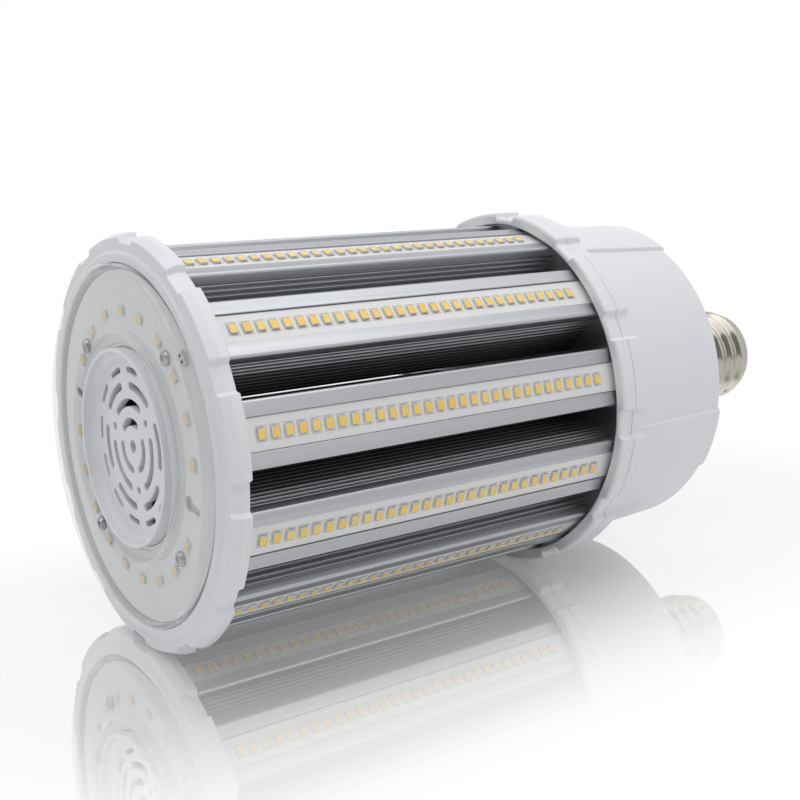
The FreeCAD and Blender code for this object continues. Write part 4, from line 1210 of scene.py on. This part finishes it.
# Screw shell: a sheet wrapped round the axis, with the crest of the thread pushed out along a helix
def makeShellTree(weld):
    tree, given, output = newTree("threadedShell", {
        "Front": "Float", "Start": "Float", "Pitch": "Float", "Turns": "Float", "Fade": "Float",
        "Height": "Float"})
    place = addNode(tree, "GeometryNodeInputPosition")
    parts = addNode(tree, "ShaderNodeSeparateXYZ", {"Vector": place}).outputs
    along, turn, radius = parts["X"], parts["Y"], parts["Z"]
    past = maths(tree, "SUBTRACT", maths(tree, "SUBTRACT", along, given["Front"]), given["Start"])
    phase = maths(tree, "SUBTRACT", maths(tree, "DIVIDE", past, given["Pitch"]), turn)
    cosine = maths(tree, "COSINE", maths(tree, "MULTIPLY", phase, 2 * math.pi))
    wave = maths(tree, "MULTIPLY_ADD", cosine, 0.5, 0.5)
    # The crest that a point is nearest to, counted along the helix, tells where the thread runs out
    travelled = maths(tree, "ADD", maths(tree, "ROUND", phase), turn)
    fadeIn = mapRange(tree, travelled, 0.0, given["Fade"], 0.0, 1.0, True)
    left = maths(tree, "SUBTRACT", given["Turns"], travelled)
    fadeOut = mapRange(tree, left, 0.0, given["Fade"], 0.0, 1.0, True)
    height = maths(tree, "MULTIPLY", maths(tree, "MULTIPLY", wave, given["Height"]),
                   maths(tree, "MULTIPLY", fadeIn, fadeOut))
    reach = maths(tree, "ADD", radius, height)
    angle = maths(tree, "MULTIPLY", turn, 2 * math.pi)
    across = maths(tree, "MULTIPLY", maths(tree, "MULTIPLY", reach, -1.0), maths(tree, "SINE", angle))
    up = maths(tree, "MULTIPLY", reach, maths(tree, "COSINE", angle))
    up = maths(tree, "ADD", up, given["Axis height"])
    spot = addNode(tree, "ShaderNodeCombineXYZ", {"X": along, "Y": across, "Z": up})
    wrapped = addNode(tree, "GeometryNodeSetPosition", {"Geometry": given["Geometry"], "Position": spot})
    merged = addNode(tree, "GeometryNodeMergeByDistance", {"Geometry": wrapped, "Distance": weld})
    return endTree(tree, merged, given, output)


def makeCapShell(values):
    root, bend, around, steps = values["root"], values["endRound"], values["around"], values["along"]
    straightStart, straightEnd = values["start"] + values["lip"], values["end"] - bend
    line = [(values["start"] + values["lipGap"], root + values["lipRise"]), (straightStart, root)]
    line += [(straightStart + (straightEnd - values["start"] - values["lip"]) * step / steps, root)
             for step in range(1, steps + 1)]
    for step in range(1, values["endSteps"] + 1):
        turn = math.radians(90 * step / values["endSteps"])
        line.append((straightEnd + bend * math.sin(turn), root - bend * (1 - math.cos(turn))))
    line.append((values["end"], values["endRadius"]))
    points = []
    for along, radius in line:
        points += [(station(along), step / around, radius * mm) for step in range(around + 1)]
    faces = []
    for level in range(len(line) - 1):
        for step in range(around):
            first = level * (around + 1) + step
            faces.append((first, first + 1, first + around + 2, first + around + 1))
    piece = addPiece("capShell", points, faces, "nickelShell")
    applyTree(piece, makeShellTree(values["weld"]), "nickelShell", {
        "Front": station(values["start"]), "Start": values["threadStart"] * mm,
        "Pitch": values["pitch"] * mm, "Turns": values["turns"], "Fade": values["fade"],
        "Height": (values["crest"] - root) * mm})
    outwardFaces(piece, sheet=True)
    solid = piece.modifiers.new("sheet", "SOLIDIFY")
    solid.thickness = values["wall"] * mm
    solid.offset = -1
    keepResult(piece)
    finishPiece(piece, "nickel_plate", "cap_shell", degrees=values["sharpFrom"])


makeCapShell(capShell)
print("cap shell done")

capEnd = {
    "shellEnd": 288.0, "insulatorEnd": 291.4, "overall": 293.7, "collar": 14.4, "tip": 9.5, "bore": 1.2,
    "seat": 13.6, "seatDepth": 0.55, "collarDepth": 0.7, "collarDraft": 0.1, "gap": 0.02,
    "contact": 7.5, "contactRound": 1.5, "steps": 96,
    # the contact's outline inside its rim: how far below the tip, radius, roundness
    "dimple": [(0.15, 4.4, 0.5), (0.55, 3.6, 0.4), (0.45, 2.2, 0.4), (0, 1.2, 0.5), (0, 0, 0)],
}


def makeCapEnd(values):
    shellEnd, insulatorEnd, overall = values["shellEnd"], values["insulatorEnd"], values["overall"]
    gap, angles = values["gap"], evenAngles(values["steps"])
    outline = roundedOutline([
        (shellEnd - values["seatDepth"], values["bore"], 0),
        (shellEnd - values["seatDepth"], values["seat"], 0),
        (shellEnd + gap, values["seat"], 0),
        (shellEnd + gap, values["collar"], 0.15),
        (shellEnd + values["collarDepth"], values["collar"] - values["collarDraft"], 0.3),
        (insulatorEnd, values["tip"], 0.8),
        (insulatorEnd, values["bore"], 0),
    ])
    turnedPiece("capInsulator", "cap_insulator", outline, angles, "blackInsulator", "dark_plastic")
    outline = roundedOutline([
        (insulatorEnd + gap, 0, 0),
        (insulatorEnd + gap, values["contact"], 0.2),
        (overall - values["dimple"][0][0], values["contact"], values["contactRound"]),
        *[(overall - below, radius, roundness) for below, radius, roundness in values["dimple"]],
    ], closed=False)
    turnedPiece("centreContact", "centre_contact", outline, angles, "contactTin", "contact_brass",
                closed=False)


makeCapEnd(capEnd)
print("cap end done")

keptPieces = {
    "front_plate": "punchedAluminium", "rear_plate": "punchedAluminium",
    "driver_board": "boardGreen", "driver_transformer": "darkFerrite",
    "driver_capacitors": "capacitorSleeve", "driver_choke": "copperWinding", "driver_bridge": "darkFerrite",
    "live_lead": "redSleeve", "neutral_lead": "blueSleeve",
}
for name, material in keptPieces.items():
    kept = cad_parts[name]
    if not kept.data.materials:
        kept.data.materials.append(materials[material])
    for index in range(len(kept.data.materials)):
        kept.data.materials[index] = materials[material]
print("finishes of the kept pieces set")
